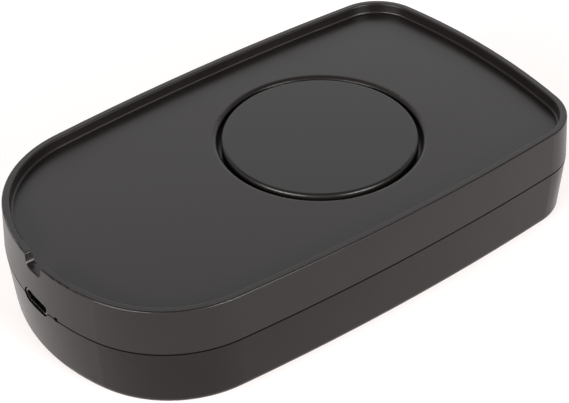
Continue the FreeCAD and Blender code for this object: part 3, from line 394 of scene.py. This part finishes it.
# Natural nylon from a smooth mould.
CONNECTOR_NYLON = Finish(
    name="connector_nylon_moulded", colour="e9e6dc", tint="dfdbcd", roughness=0.4,
    roughness_spread=0.05, patch_mm=3.0, grain_mm=0.3, relief_mm=0.004, ior=1.53)
# Glass-epoxy laminate under green solder mask: glossy, with the weave just showing at 0.5 mm.
BOARD_LAMINATE = Finish(
    name="board_solder_mask", colour="12502d", tint="0f4727", roughness=0.3,
    roughness_spread=0.05, patch_mm=6.0, grain_mm=0.5, relief_mm=0.006, ior=1.55, coat=0.3)
# Transfer-moulded epoxy: fine matte with glass filler.
CHIP_EPOXY = Finish(
    name="chip_epoxy_moulded", colour="1c1c1d", tint="232324", roughness=0.6,
    roughness_spread=0.06, patch_mm=1.5, grain_mm=0.12, relief_mm=0.006, ior=1.55)
# Impact-extruded aluminium can.
CAPACITOR_ALUMINIUM = Finish(
    name="capacitor_aluminium_extruded", colour="c9cbce", tint="bcbec2", roughness=0.28,
    roughness_spread=0.05, patch_mm=1.5, grain=Grain.DRAWN_ALONG_Z, grain_mm=0.15,
    relief_mm=0.002, metallic=1.0)
# Stainless sheet with nickel plating, rolled round and laser-welded. Its colour is much darker than
# nickel's: painted shade, for the shade inside the USB mouth.
SOCKET_STEEL_PAINTED_SHADE = Finish(
    name="socket_steel_painted_shade", colour="7a7874", tint="6e6c68", roughness=0.24,
    roughness_spread=0.04, patch_mm=2.0, grain=Grain.ROLLED_ALONG_X, grain_mm=0.15,
    relief_mm=0.002, metallic=1.0)
# Black liquid-crystal polymer from a fine mould.
SOCKET_POLYMER = Finish(
    name="socket_polymer_moulded", colour="151515", tint="1a1a1a", roughness=0.45,
    roughness_spread=0.05, patch_mm=1.0, grain_mm=0.12, relief_mm=0.004, ior=1.6)
# Gold plating over nickel on phosphor bronze: a bright warm metal.
CONTACT_GOLD = Finish(
    name="contact_gold_plated", colour="f0c560", tint="e8ba52", roughness=0.2,
    roughness_spread=0.04, patch_mm=0.8, grain_mm=0.1, relief_mm=0.001, metallic=1.0)
# Tinned copper leads and solder: a soft silvery metal.
LEAD_TIN = Finish(
    name="lead_tinned", colour="c9cacb", tint="bcbdbf", roughness=0.3,
    roughness_spread=0.06, patch_mm=0.8, grain_mm=0.12, relief_mm=0.002, metallic=1.0)

NODE_FINISHES: dict[str, Finish] = {
    "top_shell": CASE_ABS,
    "bottom_shell": BASE_ABS_PAINTED_SHADE,
    "turntable_disc": TURNTABLE_ABS,
    "foot_front_left": FOOT_RUBBER,
    "foot_front_right": FOOT_RUBBER,
    "foot_rear_left": FOOT_RUBBER,
    "foot_rear_right": FOOT_RUBBER,
    "case_screws": SCREW_STEEL,
    "motor_screws": SCREW_STEEL,
    "board_screws": SCREW_STEEL,
    "output_shaft": SHAFT_STEEL,
    "rotor_shaft": SHAFT_STEEL,
    "gear_pins": SHAFT_STEEL,
    "output_gear": GEAR_ACETAL,
    "first_gear": GEAR_ACETAL,
    "second_gear": GEAR_ACETAL,
    "gear_plate": PLATE_STEEL,
    "motor_cover": PLATE_STEEL,
    "motor_can": CAN_STEEL,
    "rotor_magnet": MAGNET_FERRITE,
    "stator_poles": POLE_IRON,
    "lower_coil": WINDING_COPPER,
    "upper_coil": WINDING_COPPER,
    "shaft_bush": BUSH_BRASS,
    "lead_cap": CAP_POLYPROPYLENE,
    "motor_leads": LEAD_PVC,
    "lead_plug": CONNECTOR_NYLON,
    "board_header": CONNECTOR_NYLON,
    "circuit_board": BOARD_LAMINATE,
    "controller_chip": CHIP_EPOXY,
    "driver_chip": CHIP_EPOXY,
    "board_capacitors": CAPACITOR_ALUMINIUM,
    "usb_socket_shell": SOCKET_STEEL_PAINTED_SHADE,
    "usb_socket_tongue": SOCKET_POLYMER,
}


@dataclass
class Paintshop:
    """Makes each finish once and gives it to pieces.

    Attributes:
        made: The materials made so far, by name.
    """

    made: dict[str, bpy.types.Material] = field(default_factory=dict)

    def give(self, piece: bpy.types.Object, finish: Finish) -> None:
        """Puts a finish on a piece, in place of whatever it had.

        Args:
            piece: The piece.
            finish: Its finish.
        """
        if finish.name not in self.made:
            self.made[finish.name] = finish.material()
        piece.data.materials.clear()
        piece.data.materials.append(self.made[finish.name])


# ---------------------------------------------------------------- the bench


def clear_selection() -> None:
    """Leaves nothing selected and no object in edit mode."""
    if bpy.context.object and bpy.context.object.mode != "OBJECT":
        bpy.ops.object.mode_set(mode="OBJECT")
    bpy.ops.object.select_all(action="DESELECT")


def name_new(name: str) -> bpy.types.Object:
    """Names the primitive that was just added and clears its place into its mesh.

    Args:
        name: The piece's name.

    Returns:
        The piece.
    """
    piece = bpy.context.active_object
    piece.name = name
    piece.data.name = name
    bpy.ops.object.transform_apply(location=True, rotation=True, scale=True)
    return piece


def select_faces(
    piece: bpy.types.Object, wanted: Callable[[bpy.types.MeshPolygon], bool]
) -> None:
    """Opens a piece in edit mode with only some of its faces selected.

    Args:
        piece: The piece.
        wanted: Says of a face whether it is selected.
    """
    chosen = [wanted(face) for face in piece.data.polygons]
    bpy.context.view_layer.objects.active = piece
    bpy.ops.object.mode_set(mode="EDIT")
    bpy.ops.mesh.select_mode(type="FACE")
    bpy.ops.mesh.select_all(action="DESELECT")
    bpy.ops.object.mode_set(mode="OBJECT")
    for face, choose in zip(piece.data.polygons, chosen):
        face.select = choose
    bpy.ops.object.mode_set(mode="EDIT")


def merge_pieces(pieces: Sequence[bpy.types.Object], name: str) -> bpy.types.Object:
    """Joins pieces into one object.

    Args:
        pieces: The pieces.
        name: The name of the joined piece.

    Returns:
        The joined piece.
    """
    clear_selection()
    for piece in pieces:
        piece.select_set(True)
    bpy.context.view_layer.objects.active = pieces[0]
    bpy.ops.object.join()
    joined = bpy.context.active_object
    joined.name = name
    joined.data.name = name
    return joined


def copy_at(piece: bpy.types.Object, shift: Vector) -> bpy.types.Object:
    """Copies a piece, with its own mesh, to a new place.

    Args:
        piece: The piece to copy.
        shift: How far the copy is moved.

    Returns:
        The copy.
    """
    twin = piece.copy()
    twin.data = piece.data.copy()
    twin.data.transform(Matrix.Translation(shift))
    bpy.context.scene.collection.objects.link(twin)
    return twin


# ---------------------------------------------------------------- sub-assemblies


@dataclass
class UsbInlet:
    """The gold contacts on both sides of the USB-C receptacle's blade.

    Attributes:
        pitch_mm: How far apart the contacts are.
        count: How many contacts each side of the blade has.
        width_mm: How wide a contact is.
        length_mm: How long a contact is.
        proud_mm: How far a contact stands off the blade; as much of it is sunk in.
        edge_mm: How far a contact's edges are rounded.
        start_mm: How far behind the blade's front edge the contacts start.
        blade_mm: How thick the blade is.
    """

    pitch_mm: float = 0.5
    count: int = 12
    width_mm: float = 0.27
    length_mm: float = 3.4
    proud_mm: float = 0.04
    edge_mm: float = 0.012
    start_mm: float = 0.7
    blade_mm: float = 0.7

    def build(self, paint: Paintshop) -> bpy.types.Object:
        """Lays the contacts on the blade.

        Args:
            paint: The shop that finishes them.

        Returns:
            The contacts, as one piece.
        """
        low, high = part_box("usb_socket_tongue")
        middle = (low.z + high.z) / 2
        front = low.y + self.start_mm * MM
        reach = (self.count - 1) / 2 * self.pitch_mm * MM
        rise = self.blade_mm * MM / 2
        clear_selection()
        bpy.ops.mesh.primitive_cube_add(
            size=1, location=(-reach, front + self.length_mm * MM / 2, middle + rise),
            scale=(self.width_mm * MM, self.length_mm * MM, 2 * self.proud_mm * MM))
        pad = name_new("usb_contact_pad")
        bpy.ops.object.mode_set(mode="EDIT")
        bpy.ops.mesh.select_all(action="SELECT")
        bpy.ops.mesh.bevel(offset=self.edge_mm * MM, segments=2)
        bpy.ops.object.mode_set(mode="OBJECT")
        pads = [pad]
        for number in range(1, self.count):
            pads.append(copy_at(pad, Vector((number * self.pitch_mm * MM, 0, 0))))
        below = [copy_at(upper, Vector((0, 0, -2 * rise))) for upper in pads]
        contacts = merge_pieces([*pads, *below], "usb_contacts")
        paint.give(contacts, CONTACT_GOLD)
        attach(contacts, "housing")
        return contacts


@dataclass(frozen=True)
class CrossRecess:
    """A cross recess, as the bar that cuts each of its arms.

    The bar reaches as far out of the head as into it, and narrows at its lower end.

    Attributes:
        length: The bar's length, as a share of the head's radius.
        width: The bar's width, as a share of the head's radius.
        depth: How deep the bar goes, as a share of the head's height.
        end_length: The length of its lower end, as a share of the bar's.
        end_width: The width of its lower end, as a share of the bar's.
    """

    length: float = 1.15
    width: float = 0.26
    depth: float = 0.7
    end_length: float = 0.35
    end_width: float = 0.6

    def cut(self, head: bpy.types.Object, radius: float, height: float) -> None:
        """Cuts both arms in a head that stands on the origin.

        Args:
            head: The head.
            radius: Its radius, in metres.
            height: Its height, in metres.
        """
        for turn in (0.0, math.pi / 2):
            clear_selection()
            bpy.ops.mesh.primitive_cube_add(
                size=1, location=(0, 0, height),
                scale=(self.length * radius, self.width * radius, 2 * self.depth * height))
            bar = name_new("recess_bar")
            select_faces(bar, lambda face: face.normal.z < -FACING)
            bpy.ops.transform.resize(value=(self.end_length, self.end_width, 1))
            bpy.ops.object.mode_set(mode="OBJECT")
            bar.data.transform(Matrix.Rotation(turn, 4, "Z"))
            clear_selection()
            bpy.context.view_layer.objects.active = head
            head.select_set(True)
            recess = head.modifiers.new("recess", "BOOLEAN")
            recess.operation = "DIFFERENCE"
            recess.object = bar
            bpy.ops.object.modifier_apply(modifier=recess.name)
            bpy.data.objects.remove(bar)


@dataclass(frozen=True)
class Screw:
    """A pan-head thread-forming screw with a cross recess.

    Attributes:
        head_radius_mm: The head's radius.
        head_height_mm: How high the head stands over its seat.
        crest_radius_mm: The shank's radius over the thread.
        pitch_mm: How far the thread rises in one turn.
        thread_mm: How deep the thread is.
        turn_steps: How many straight steps make one turn of the thread.
        point_mm: How long the tapered point is.
        point_end: The radius of the point's end, as a share of the shank's.
        crown: How much of the head's height its rounded top takes.
        recess: The cross recess.
    """

    head_radius_mm: float
    head_height_mm: float
    crest_radius_mm: float
    pitch_mm: float = 1.0
    thread_mm: float = 0.22
    turn_steps: int = 20
    point_mm: float = 0.8
    point_end: float = 0.45
    crown: float = 0.55
    recess: CrossRecess = CrossRecess()

    def build(self, name: str, length: float) -> bpy.types.Object:
        """Makes the screw with its seat at the origin and its point down.

        Args:
            name: The screw's name.
            length: How long the shank is with its point, in millimetres.

        Returns:
            The screw.
        """
        straight = length - self.point_mm
        return merge_pieces(
            [self.upset_head(), self.taper_shank(straight), self.roll_thread(straight)], name)

    def upset_head(self) -> bpy.types.Object:
        """Makes the head, rounds its top and sinks the cross recess in it.

        Returns:
            The head.
        """
        radius, height = self.head_radius_mm * MM, self.head_height_mm * MM
        clear_selection()
        bpy.ops.mesh.primitive_cylinder_add(
            vertices=32, radius=radius, depth=height, location=(0, 0, height / 2))
        head = name_new("screw_head")
        select_faces(head, lambda face: face.normal.z > FACING)
        bpy.ops.mesh.bevel(offset=self.crown * height, segments=4, profile=0.5)
        bpy.ops.object.mode_set(mode="OBJECT")
        self.recess.cut(head, radius, height)
        bpy.ops.object.shade_smooth_by_angle(angle=SMOOTH_ANGLE)
        return head

    def taper_shank(self, straight: float) -> bpy.types.Object:
        """Makes the shank at the thread's root and tapers its point.

        Args:
            straight: How long the shank is without its point, in millimetres.

        Returns:
            The shank.
        """
        clear_selection()
        bpy.ops.mesh.primitive_cylinder_add(
            vertices=24, radius=(self.crest_radius_mm - self.thread_mm) * MM,
            depth=straight * MM, location=(0, 0, -straight * MM / 2))
        shank = name_new("screw_shank")
        select_faces(shank, lambda face: face.normal.z < -FACING)
        bpy.ops.mesh.extrude_region_move(
            TRANSFORM_OT_translate={"value": (0, 0, -self.point_mm * MM)})
        bpy.ops.transform.resize(value=(self.point_end, self.point_end, 1))
        bpy.ops.object.mode_set(mode="OBJECT")
        bpy.ops.object.shade_smooth_by_angle(angle=SMOOTH_ANGLE)
        return shank

    def roll_thread(self, straight: float) -> bpy.types.Object:
        """Winds a square ridge, with one corner out and one sunk in the shank, up from the point.

        Args:
            straight: How long the shank is without its point, in millimetres.

        Returns:
            The thread.
        """
        root = (self.crest_radius_mm - self.thread_mm) * MM
        clear_selection()
        bpy.ops.mesh.primitive_circle_add(
            vertices=4, radius=self.thread_mm * MM, fill_type="NOTHING",
            location=(root, 0, -straight * MM), rotation=(math.pi / 2, 0, 0))
        ridge = name_new("screw_thread")
        wind = ridge.modifiers.new("wind", "SCREW")
        wind.axis = "Z"
        wind.screw_offset = self.pitch_mm * MM
        wind.iterations = int((straight - self.pitch_mm) / self.pitch_mm)
        wind.steps = wind.render_steps = self.turn_steps
        wind.use_smooth_shade = True
        bpy.ops.object.modifier_apply(modifier=wind.name)
        bpy.ops.object.mode_set(mode="EDIT")
        bpy.ops.mesh.select_all(action="SELECT")
        bpy.ops.mesh.fill_holes(sides=4)
        bpy.ops.mesh.normals_make_consistent(inside=False)
        bpy.ops.object.mode_set(mode="OBJECT")
        return ridge


@dataclass(frozen=True)
class ScrewSet:
    """Identical screws that stand for one node of plain ones, in the corners of its box.

    Attributes:
        node: The node.
        screw: The screw.
        rows: How many rows of two they stand in.
        from_below: Whether the heads are below their seats.
        step_mm: The step that the middles of the screws are laid out in.
    """

    node: str
    screw: Screw
    rows: int = 2
    from_below: bool = False
    step_mm: float = 0.05

    def build(self, paint: Paintshop) -> bpy.types.Object:
        """Makes one screw, copies it to its places and stands the set for its node.

        Args:
            paint: The shop that finishes them.

        Returns:
            The screws, as one piece.
        """
        low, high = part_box(self.node)
        length = (high.z - low.z) / MM - self.screw.head_height_mm
        model = self.screw.build(f"{self.node}_model", length)
        if self.from_below:
            model.data.transform(Matrix.Rotation(math.pi, 4, "X"))
        screws = [copy_at(model, place) for place in self.places(low, high)]
        bpy.data.objects.remove(model)
        joined = merge_pieces(screws, f"{self.node}_cross_head")
        paint.give(joined, SCREW_STEEL)
        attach(joined, "housing")
        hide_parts(self.node)
        return joined

    def places(self, low: Vector, high: Vector) -> list[Vector]:
        """Finds the middles of the heads' seats, from the heads in the corners of the box.

        The frame's round heads are made of flats, which can leave the box a hair small, so each
        middle goes to the nearest step of the layout.

        Args:
            low: The lowest corner of the plain screws' box.
            high: The highest corner of that box.

        Returns:
            The places, row by row.
        """
        inset, head = self.screw.head_radius_mm * MM, self.screw.head_height_mm * MM
        seat = low.z + head if self.from_below else high.z - head
        rows = (low.y + inset, high.y - inset)[:self.rows]
        columns = (low.x + inset, high.x - inset)
        step = self.step_mm * MM
        return [Vector((round(x / step) * step, round(y / step) * step, seat))
                for y in rows for x in columns]


@dataclass(frozen=True)
class LeadRows:
    """The leads of a chip.

    Attributes:
        chip: The chip's node.
        pitch_mm: How far apart the leads are.
        count: How many leads a side has.
        sides: The sides that have leads, in quarter turns from the one that faces +Y.
    """

    chip: str
    pitch_mm: float
    count: int
    sides: tuple[int, ...]


@dataclass
class BoardLeads:
    """The bent leads of the two chips and the pins of the board's header.

    Attributes:
        rows: Each chip's leads.
        width_mm: A lead's width, which is no more than half of its pitch.
        thick_mm: A lead's thickness.
        shoulder_mm: How far a lead comes straight out of its chip.
        shoulder_rise: How high it comes out, as a share of the chip's height.
        slope_mm: How far out it goes as it comes down.
        foot_mm: How long its foot is on the board.
        edge_mm: How far a lead's edges are rounded.
        pin_mm: How thick a header pin is.
        pin_edge_mm: How far a pin's ends are chamfered.
        pin_pitch_mm: How far apart the header's pins are.
        pin_count: How many pins the header has.
        pin_sink_mm: How far below the header's rim the pins end.
        tail_mm: How far a pin stands out under the board.
        solder_radii_mm: The radii of the solder round a pin, at its lower end and at the board.
        solder_height_mm: How far down a pin the solder reaches.
        solder_edge_mm: How far the solder's edges are rounded.
    """

    rows: tuple[LeadRows, ...] = (
        LeadRows("driver_chip", pitch_mm=1.27, count=8, sides=(0, 2)),
        LeadRows("controller_chip", pitch_mm=0.8, count=6, sides=(0, 1, 2, 3)),
    )
    width_mm: float = 0.4
    thick_mm: float = 0.18
    shoulder_mm: float = 0.25
    shoulder_rise: float = 0.55
    slope_mm: float = 0.2
    foot_mm: float = 0.55
    edge_mm: float = 0.04
    pin_mm: float = 0.5
    pin_edge_mm: float = 0.12
    pin_pitch_mm: float = 2.0
    pin_count: int = 5
    pin_sink_mm: float = 1.5
    tail_mm: float = 1.6
    solder_radii_mm: tuple[float, float] = (0.3, 0.8)
    solder_height_mm: float = 0.9
    solder_edge_mm: float = 0.1

    def build(self, paint: Paintshop) -> list[bpy.types.Object]:
        """Bends the leads, sets the pins and dresses them.

        Args:
            paint: The shop that finishes them.

        Returns:
            The pieces.
        """
        pieces = [*(self.lead_chip(row) for row in self.rows), self.set_pins()]
        for piece in pieces:
            paint.give(piece, LEAD_TIN)
            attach(piece, "housing")
        return pieces

    def bend_lead(self, width: float, rise: float) -> bpy.types.Object:
        """Makes one gull-wing lead that leaves the origin along +Y.

        Args:
            width: Its width, in millimetres.
            rise: How high its shoulder is over its foot, in millimetres.

        Returns:
            The lead.
        """
        clear_selection()
        bpy.ops.mesh.primitive_cube_add(
            size=1, location=(0, self.shoulder_mm * MM / 2, (rise - self.thick_mm / 2) * MM),
            scale=(width * MM, self.shoulder_mm * MM, self.thick_mm * MM))
        lead = name_new("chip_lead")
        select_faces(lead, lambda face: face.normal.y > FACING)
        for out, down in ((self.slope_mm, rise - self.thick_mm), (self.foot_mm, 0.0)):
            bpy.ops.mesh.extrude_region_move(
                TRANSFORM_OT_translate={"value": (0, out * MM, -down * MM)})
        bpy.ops.object.mode_set(mode="OBJECT")
        soften = lead.modifiers.new("soften", "BEVEL")
        soften.width = self.edge_mm * MM
        soften.segments = 2
        bpy.ops.object.modifier_apply(modifier=soften.name)
        return lead

    def lead_chip(self, row: LeadRows) -> bpy.types.Object:
        """Stands leads along some of a chip's sides.

        Args:
            row: The chip and how its leads are spaced.

        Returns:
            The leads, as one piece.
        """
        low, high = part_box(row.chip)
        middle = (low + high) / 2
        half = (high - low) / 2
        lead = self.bend_lead(
            min(self.width_mm, row.pitch_mm / 2), (high.z - low.z) / MM * self.shoulder_rise)
        leads = []
        for side in row.sides:
            out = half.y if side % 2 == 0 else half.x
            turn = Matrix.Rotation(side * math.pi / 2, 4, "Z")
            for number in range(row.count):
                along = (number - (row.count - 1) / 2) * row.pitch_mm * MM
                place = Vector((middle.x, middle.y, low.z)) + turn @ Vector((along, out, 0))
                twin = copy_at(lead, Vector())
                twin.data.transform(Matrix.Translation(place) @ turn)
                leads.append(twin)
        bpy.data.objects.remove(lead)
        return merge_pieces(leads, f"{row.chip}_leads")

    def set_pins(self) -> bpy.types.Object:
        """Sets the header's square pins through the board, each in a cone of solder.

        Returns:
            The pins with their solder, as one piece.
        """
        low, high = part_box("board_header")
        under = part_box("circuit_board")[0].z
        bottom, top = under - self.tail_mm * MM, high.z - self.pin_sink_mm * MM
        first = -(self.pin_count - 1) / 2 * self.pin_pitch_mm * MM
        place = Vector((first, (low.y + high.y) / 2, (bottom + top) / 2))
        clear_selection()
        bpy.ops.mesh.primitive_cube_add(
            size=1, location=place, scale=(self.pin_mm * MM, self.pin_mm * MM, top - bottom))
        pin = name_new("header_pin")
        select_faces(pin, lambda face: abs(face.normal.z) > FACING)
        bpy.ops.mesh.bevel(offset=self.pin_edge_mm * MM, segments=1)
        bpy.ops.object.mode_set(mode="OBJECT")
        clear_selection()
        tip, foot = self.solder_radii_mm
        bpy.ops.mesh.primitive_cone_add(
            vertices=16, radius1=tip * MM, radius2=foot * MM, depth=self.solder_height_mm * MM,
            location=(place.x, place.y, under - self.solder_height_mm * MM / 2))
        cone = name_new("solder_cone")
        select_faces(cone, lambda face: abs(face.normal.z) > FACING)
        bpy.ops.mesh.bevel(offset=self.solder_edge_mm * MM, segments=2)
        bpy.ops.object.mode_set(mode="OBJECT")
        model = merge_pieces([pin, cone], "header_pin_soldered")
        pins = [copy_at(model, Vector((number * self.pin_pitch_mm * MM, 0, 0)))
                for number in range(self.pin_count)]
        bpy.data.objects.remove(model)
        return merge_pieces(pins, "header_pins")


@dataclass(frozen=True)
class Softbox:
    """A wide, low soft lamp that faces the object.

    Attributes:
        name: The lamp's name.
        bearing: Where it stands round the object, in degrees, to the right of the camera.
        width: Its width, in metres.
        radiance: How bright its face is, where 1 is white.
        height: Its height, in metres.
        elevation: How high above the horizon it stands, in degrees.
        distance: How far it is from the object, in metres.
    """

    name: str
    bearing: float
    width: float
    radiance: float
    height: float = 0.25
    elevation: float = 24.0
    distance: float = 1.1

    def hang(self, camera_azimuth: float) -> None:
        """Hangs the lamp in the scene.

        Args:
            camera_azimuth: The camera's own bearing, in degrees.
        """
        lamp = bpy.data.lights.new(self.name, "AREA")
        lamp.shape = "RECTANGLE"
        lamp.size = self.width
        lamp.size_y = self.height
        lamp.energy = self.radiance * math.pi * self.width * self.height
        holder = bpy.data.objects.new(self.name, lamp)
        away = bearing_vector(camera_azimuth + self.bearing, self.elevation)
        holder.location = away * self.distance
        holder.rotation_mode = "QUATERNION"
        holder.rotation_quaternion = away.to_track_quat("Z", "Y")
        bpy.context.scene.collection.objects.link(holder)


def bearing_vector(azimuth: float, elevation: float) -> Vector:
    """Returns the direction from the object to a bearing and a height.

    Args:
        azimuth: The bearing round the object, in degrees; 0 is on the -Y side, 90 on the +X side.
        elevation: The height above the horizon, in degrees.

    Returns:
        The direction, one long.
    """
    turn, lift = math.radians(azimuth), math.radians(elevation)
    return Vector((
        math.sin(turn) * math.cos(lift), -math.cos(turn) * math.cos(lift), math.sin(lift)))


@dataclass
class Studio:
    """A white floor, a white sky that is dark overhead, soft lamps and the camera.

    Attributes:
        azimuth: The camera's bearing round the object, in degrees; 0 looks along +Y.
        elevation: The camera's height above the horizon, in degrees.
        roll: How far the camera leans, in degrees.
        distance_mm: How far the camera is from what it aims at.
        aim_mm: The point that the camera aims at.
        lens_mm: The lens, on a sensor 36 mm wide.
        near: How near to the camera a thing still shows, in metres.
        sky_light: How strongly the sky lights, where it shows as 1, which is white.
        ceiling: How bright the sky is overhead.
        horizon_fade: Where the white round the horizon starts to fade and ends, in degrees up.
        window_height: How high the middle of the white window behind the object is, in degrees.
        window_fade: How far from its middle the window starts to fade and ends, in degrees.
        floor_size: The floor's length and width, in metres.
        floor_gap_mm: How far the floor is under the feet.
        floor_paper: The floor's own colour, which the shadow falls on.
        floor_glow: What the floor adds where it is looked at, so that it shows as white: where
            the lamps light it most, and far from there.
        floor_tint: The colour that it adds, a little warm.
        glow_reach: How far from that place the glow starts to rise and ends, in metres.
        lit_distance: How far that place is from the object, towards the camera, in metres.
        lamps: The soft lamps.
    """

    azimuth: float = 52.909
    elevation: float = 38.421
    roll: float = -1.267
    distance_mm: float = 381.13
    aim_mm: tuple[float, float, float] = (1.142, 0.352, 11.619)
    lens_mm: float = 97.739
    near: float = 0.01
    sky_light: float = 0.4
    ceiling: float = 0.15
    horizon_fade: tuple[float, float] = (14.0, 28.0)
    window_height: float = 25.0
    window_fade: tuple[float, float] = (27.0, 50.0)
    floor_size: float = 6.0
    floor_gap_mm: float = 0.02
    floor_paper: str = "aca6a4"
    floor_glow: tuple[float, float] = (0.64, 1.05)
    floor_tint: str = "fffaf9"
    glow_reach: tuple[float, float] = (0.1, 0.55)
    lit_distance: float = 0.18
    lamps: tuple[Softbox, ...] = (
        Softbox("softbox_left", bearing=-40.0, width=0.75, radiance=29.0),
        Softbox("softbox_right", bearing=44.0, width=0.46, radiance=34.0),
        Softbox("softbox_back", bearing=180.0, width=2.0, radiance=0.38, height=0.9,
                elevation=34.0),
    )

    def build(self) -> None:
        """Sets up the view, the light, the floor and the camera."""
        bpy.context.scene.view_settings.view_transform = "Standard"
        self.stand_camera()
        self.lay_floor()
        self.light_sky()
        for lamp in self.lamps:
            lamp.hang(self.azimuth)

    def lay_floor(self) -> None:
        """Lays a pale floor just under the feet; it keeps the object's shadow."""
        clear_selection()
        bpy.ops.mesh.primitive_plane_add(
            size=self.floor_size, location=(0, 0, -self.floor_gap_mm * MM))
        floor = name_new("studio_floor")
        material, tree = blank_material("floor_white_paper")
        paper = add_node(
            tree, "ShaderNodeBsdfPrincipled",
            {"Base Color": linear(self.floor_paper), "Roughness": 0.9,
             "Specular IOR Level": 0.2})
        place = add_node(tree, "ShaderNodeTexCoord").outputs["Object"]
        lit = bearing_vector(self.azimuth, 0.0) * self.lit_distance
        away = add_node(
            tree, "ShaderNodeVectorMath", {"operation": "DISTANCE", 1: tuple(lit)}, {0: place})
        spread = add_node(
            tree, "ShaderNodeMapRange",
            {"interpolation_type": "SMOOTHSTEP",
             "From Min": self.glow_reach[0], "From Max": self.glow_reach[1],
             "To Min": self.floor_glow[0], "To Max": self.floor_glow[1]},
            {"Value": away.outputs["Value"]})
        glow = add_node(
            tree, "ShaderNodeMath", {"operation": "MULTIPLY"},
            {0: self.looked_at(tree), 1: spread.outputs["Result"]})
        seen = add_node(
            tree, "ShaderNodeEmission", {"Color": linear(self.floor_tint)},
            {"Strength": glow.outputs["Value"]})
        both = add_node(
            tree, "ShaderNodeAddShader",
            links={0: paper.outputs["BSDF"], 1: seen.outputs["Emission"]})
        output = tree.nodes["Material Output"]
        tree.links.new(both.outputs["Shader"], output.inputs["Surface"])
        floor.data.materials.append(material)

    def looked_at(self, tree: bpy.types.NodeTree) -> bpy.types.NodeSocket:
        """Makes a socket that is 1 for rays that show a thing itself and 0 for those that light.

        Args:
            tree: The tree that it goes in.

        Returns:
            The socket.
        """
        path = add_node(tree, "ShaderNodeLightPath")
        seen = path.outputs["Is Camera Ray"]
        for kind in ("Is Glossy Ray", "Is Transmission Ray"):
            either = add_node(
                tree, "ShaderNodeMath", {"operation": "MAXIMUM"},
                {0: seen, 1: path.outputs[kind]})
            seen = either.outputs["Value"]
        return seen

    def light_sky(self) -> None:
        """Lights the object from a sky that is white low down and in a window behind it."""
        world = bpy.context.scene.world or bpy.data.worlds.new("studio")
        bpy.context.scene.world = world
        world.use_nodes = True
        tree = world.node_tree
        tree.nodes.clear()
        toward = add_node(tree, "ShaderNodeTexCoord").outputs["Generated"]
        height = add_node(tree, "ShaderNodeSeparateXYZ", links={"Vector": toward})
        horizon = add_node(
            tree, "ShaderNodeMapRange",
            {"interpolation_type": "SMOOTHSTEP",
             "From Min": math.sin(math.radians(self.horizon_fade[0])),
             "From Max": math.sin(math.radians(self.horizon_fade[1])),
             "To Min": 1.0, "To Max": self.ceiling},
            {"Value": height.outputs["Z"]})
        behind = add_node(
            tree, "ShaderNodeVectorMath",
            {"operation": "DOT_PRODUCT",
             1: tuple(bearing_vector(self.azimuth + 180, self.window_height))},
            {0: toward})
        window = add_node(
            tree, "ShaderNodeMapRange",
            {"interpolation_type": "SMOOTHSTEP",
             "From Min": math.cos(math.radians(self.window_fade[1])),
             "From Max": math.cos(math.radians(self.window_fade[0])),
             "To Min": self.ceiling, "To Max": 1.0},
            {"Value": behind.outputs["Value"]})
        shade = add_node(
            tree, "ShaderNodeMath", {"operation": "MAXIMUM"},
            {0: horizon.outputs["Result"], 1: window.outputs["Result"]})
        level = add_node(
            tree, "ShaderNodeMix", {"data_type": "FLOAT", "A": self.sky_light, "B": 1.0},
            {"Factor": self.looked_at(tree)})
        strength = add_node(
            tree, "ShaderNodeMath", {"operation": "MULTIPLY"},
            {0: shade.outputs["Value"], 1: level.outputs["Result"]})
        light = add_node(
            tree, "ShaderNodeBackground", {"Color": linear("ffffff")},
            {"Strength": strength.outputs["Value"]})
        add_node(tree, "ShaderNodeOutputWorld", links={"Surface": light.outputs["Background"]})

    def stand_camera(self) -> None:
        """Stands the camera and makes it the scene's own."""
        back = bearing_vector(self.azimuth, self.elevation)
        right = Vector((0, 0, 1)).cross(back).normalized()
        up = back.cross(right)
        level = Matrix((right, up, back)).transposed()
        lens = bpy.data.cameras.new("camera")
        lens.lens = self.lens_mm
        lens.clip_start = self.near
        camera = bpy.data.objects.new("camera", lens)
        bpy.context.scene.collection.objects.link(camera)
        place = Vector(self.aim_mm) * MM + back * self.distance_mm * MM
        turned = level @ Matrix.Rotation(math.radians(self.roll), 3, "Z")
        camera.matrix_world = Matrix.LocRotScale(place, turned.to_quaternion(), None)
        bpy.context.scene.camera = camera


@dataclass
class Jiggler:
    """The whole object: the frame's own pieces, finished, and the small parts added to them.

    Attributes:
        nodes: The frame's own pieces, by name.
        paint: The shop that finishes every piece.
        screws: The sets of screws.
    """

    nodes: Mapping[str, bpy.types.Object]
    paint: Paintshop = field(default_factory=Paintshop)
    screws: tuple[ScrewSet, ...] = (
        ScrewSet("case_screws", Screw(2.5, 1.8, 1.3), from_below=True),
        ScrewSet("motor_screws", Screw(2.7, 1.9, 1.3), rows=1),
        ScrewSet("board_screws", Screw(1.8, 1.3, 1.0, pitch_mm=0.8)),
    )

    def finish_frame(self) -> None:
        """Gives every piece of the frame its finish."""
        for name, piece in self.nodes.items():
            self.paint.give(piece, NODE_FINISHES[name])
            LOG.info("%s: %s", name, NODE_FINISHES[name].name)

    def build(self) -> None:
        """Finishes the frame and adds the small parts."""
        self.finish_frame()
        pieces = [UsbInlet().build(self.paint), *BoardLeads().build(self.paint)]
        pieces += [screws.build(self.paint) for screws in self.screws]
        for piece in pieces:
            LOG.info("%s: %d faces", piece.name, len(piece.data.polygons))


def main() -> None:
    """Loads the frame, dresses it and lights it."""
    logging.basicConfig(level=logging.INFO, format="%(name)s %(message)s")
    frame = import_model()
    Jiggler(frame["nodes"]).build()
    Studio().build()


if __name__ == "__main__":
    main()
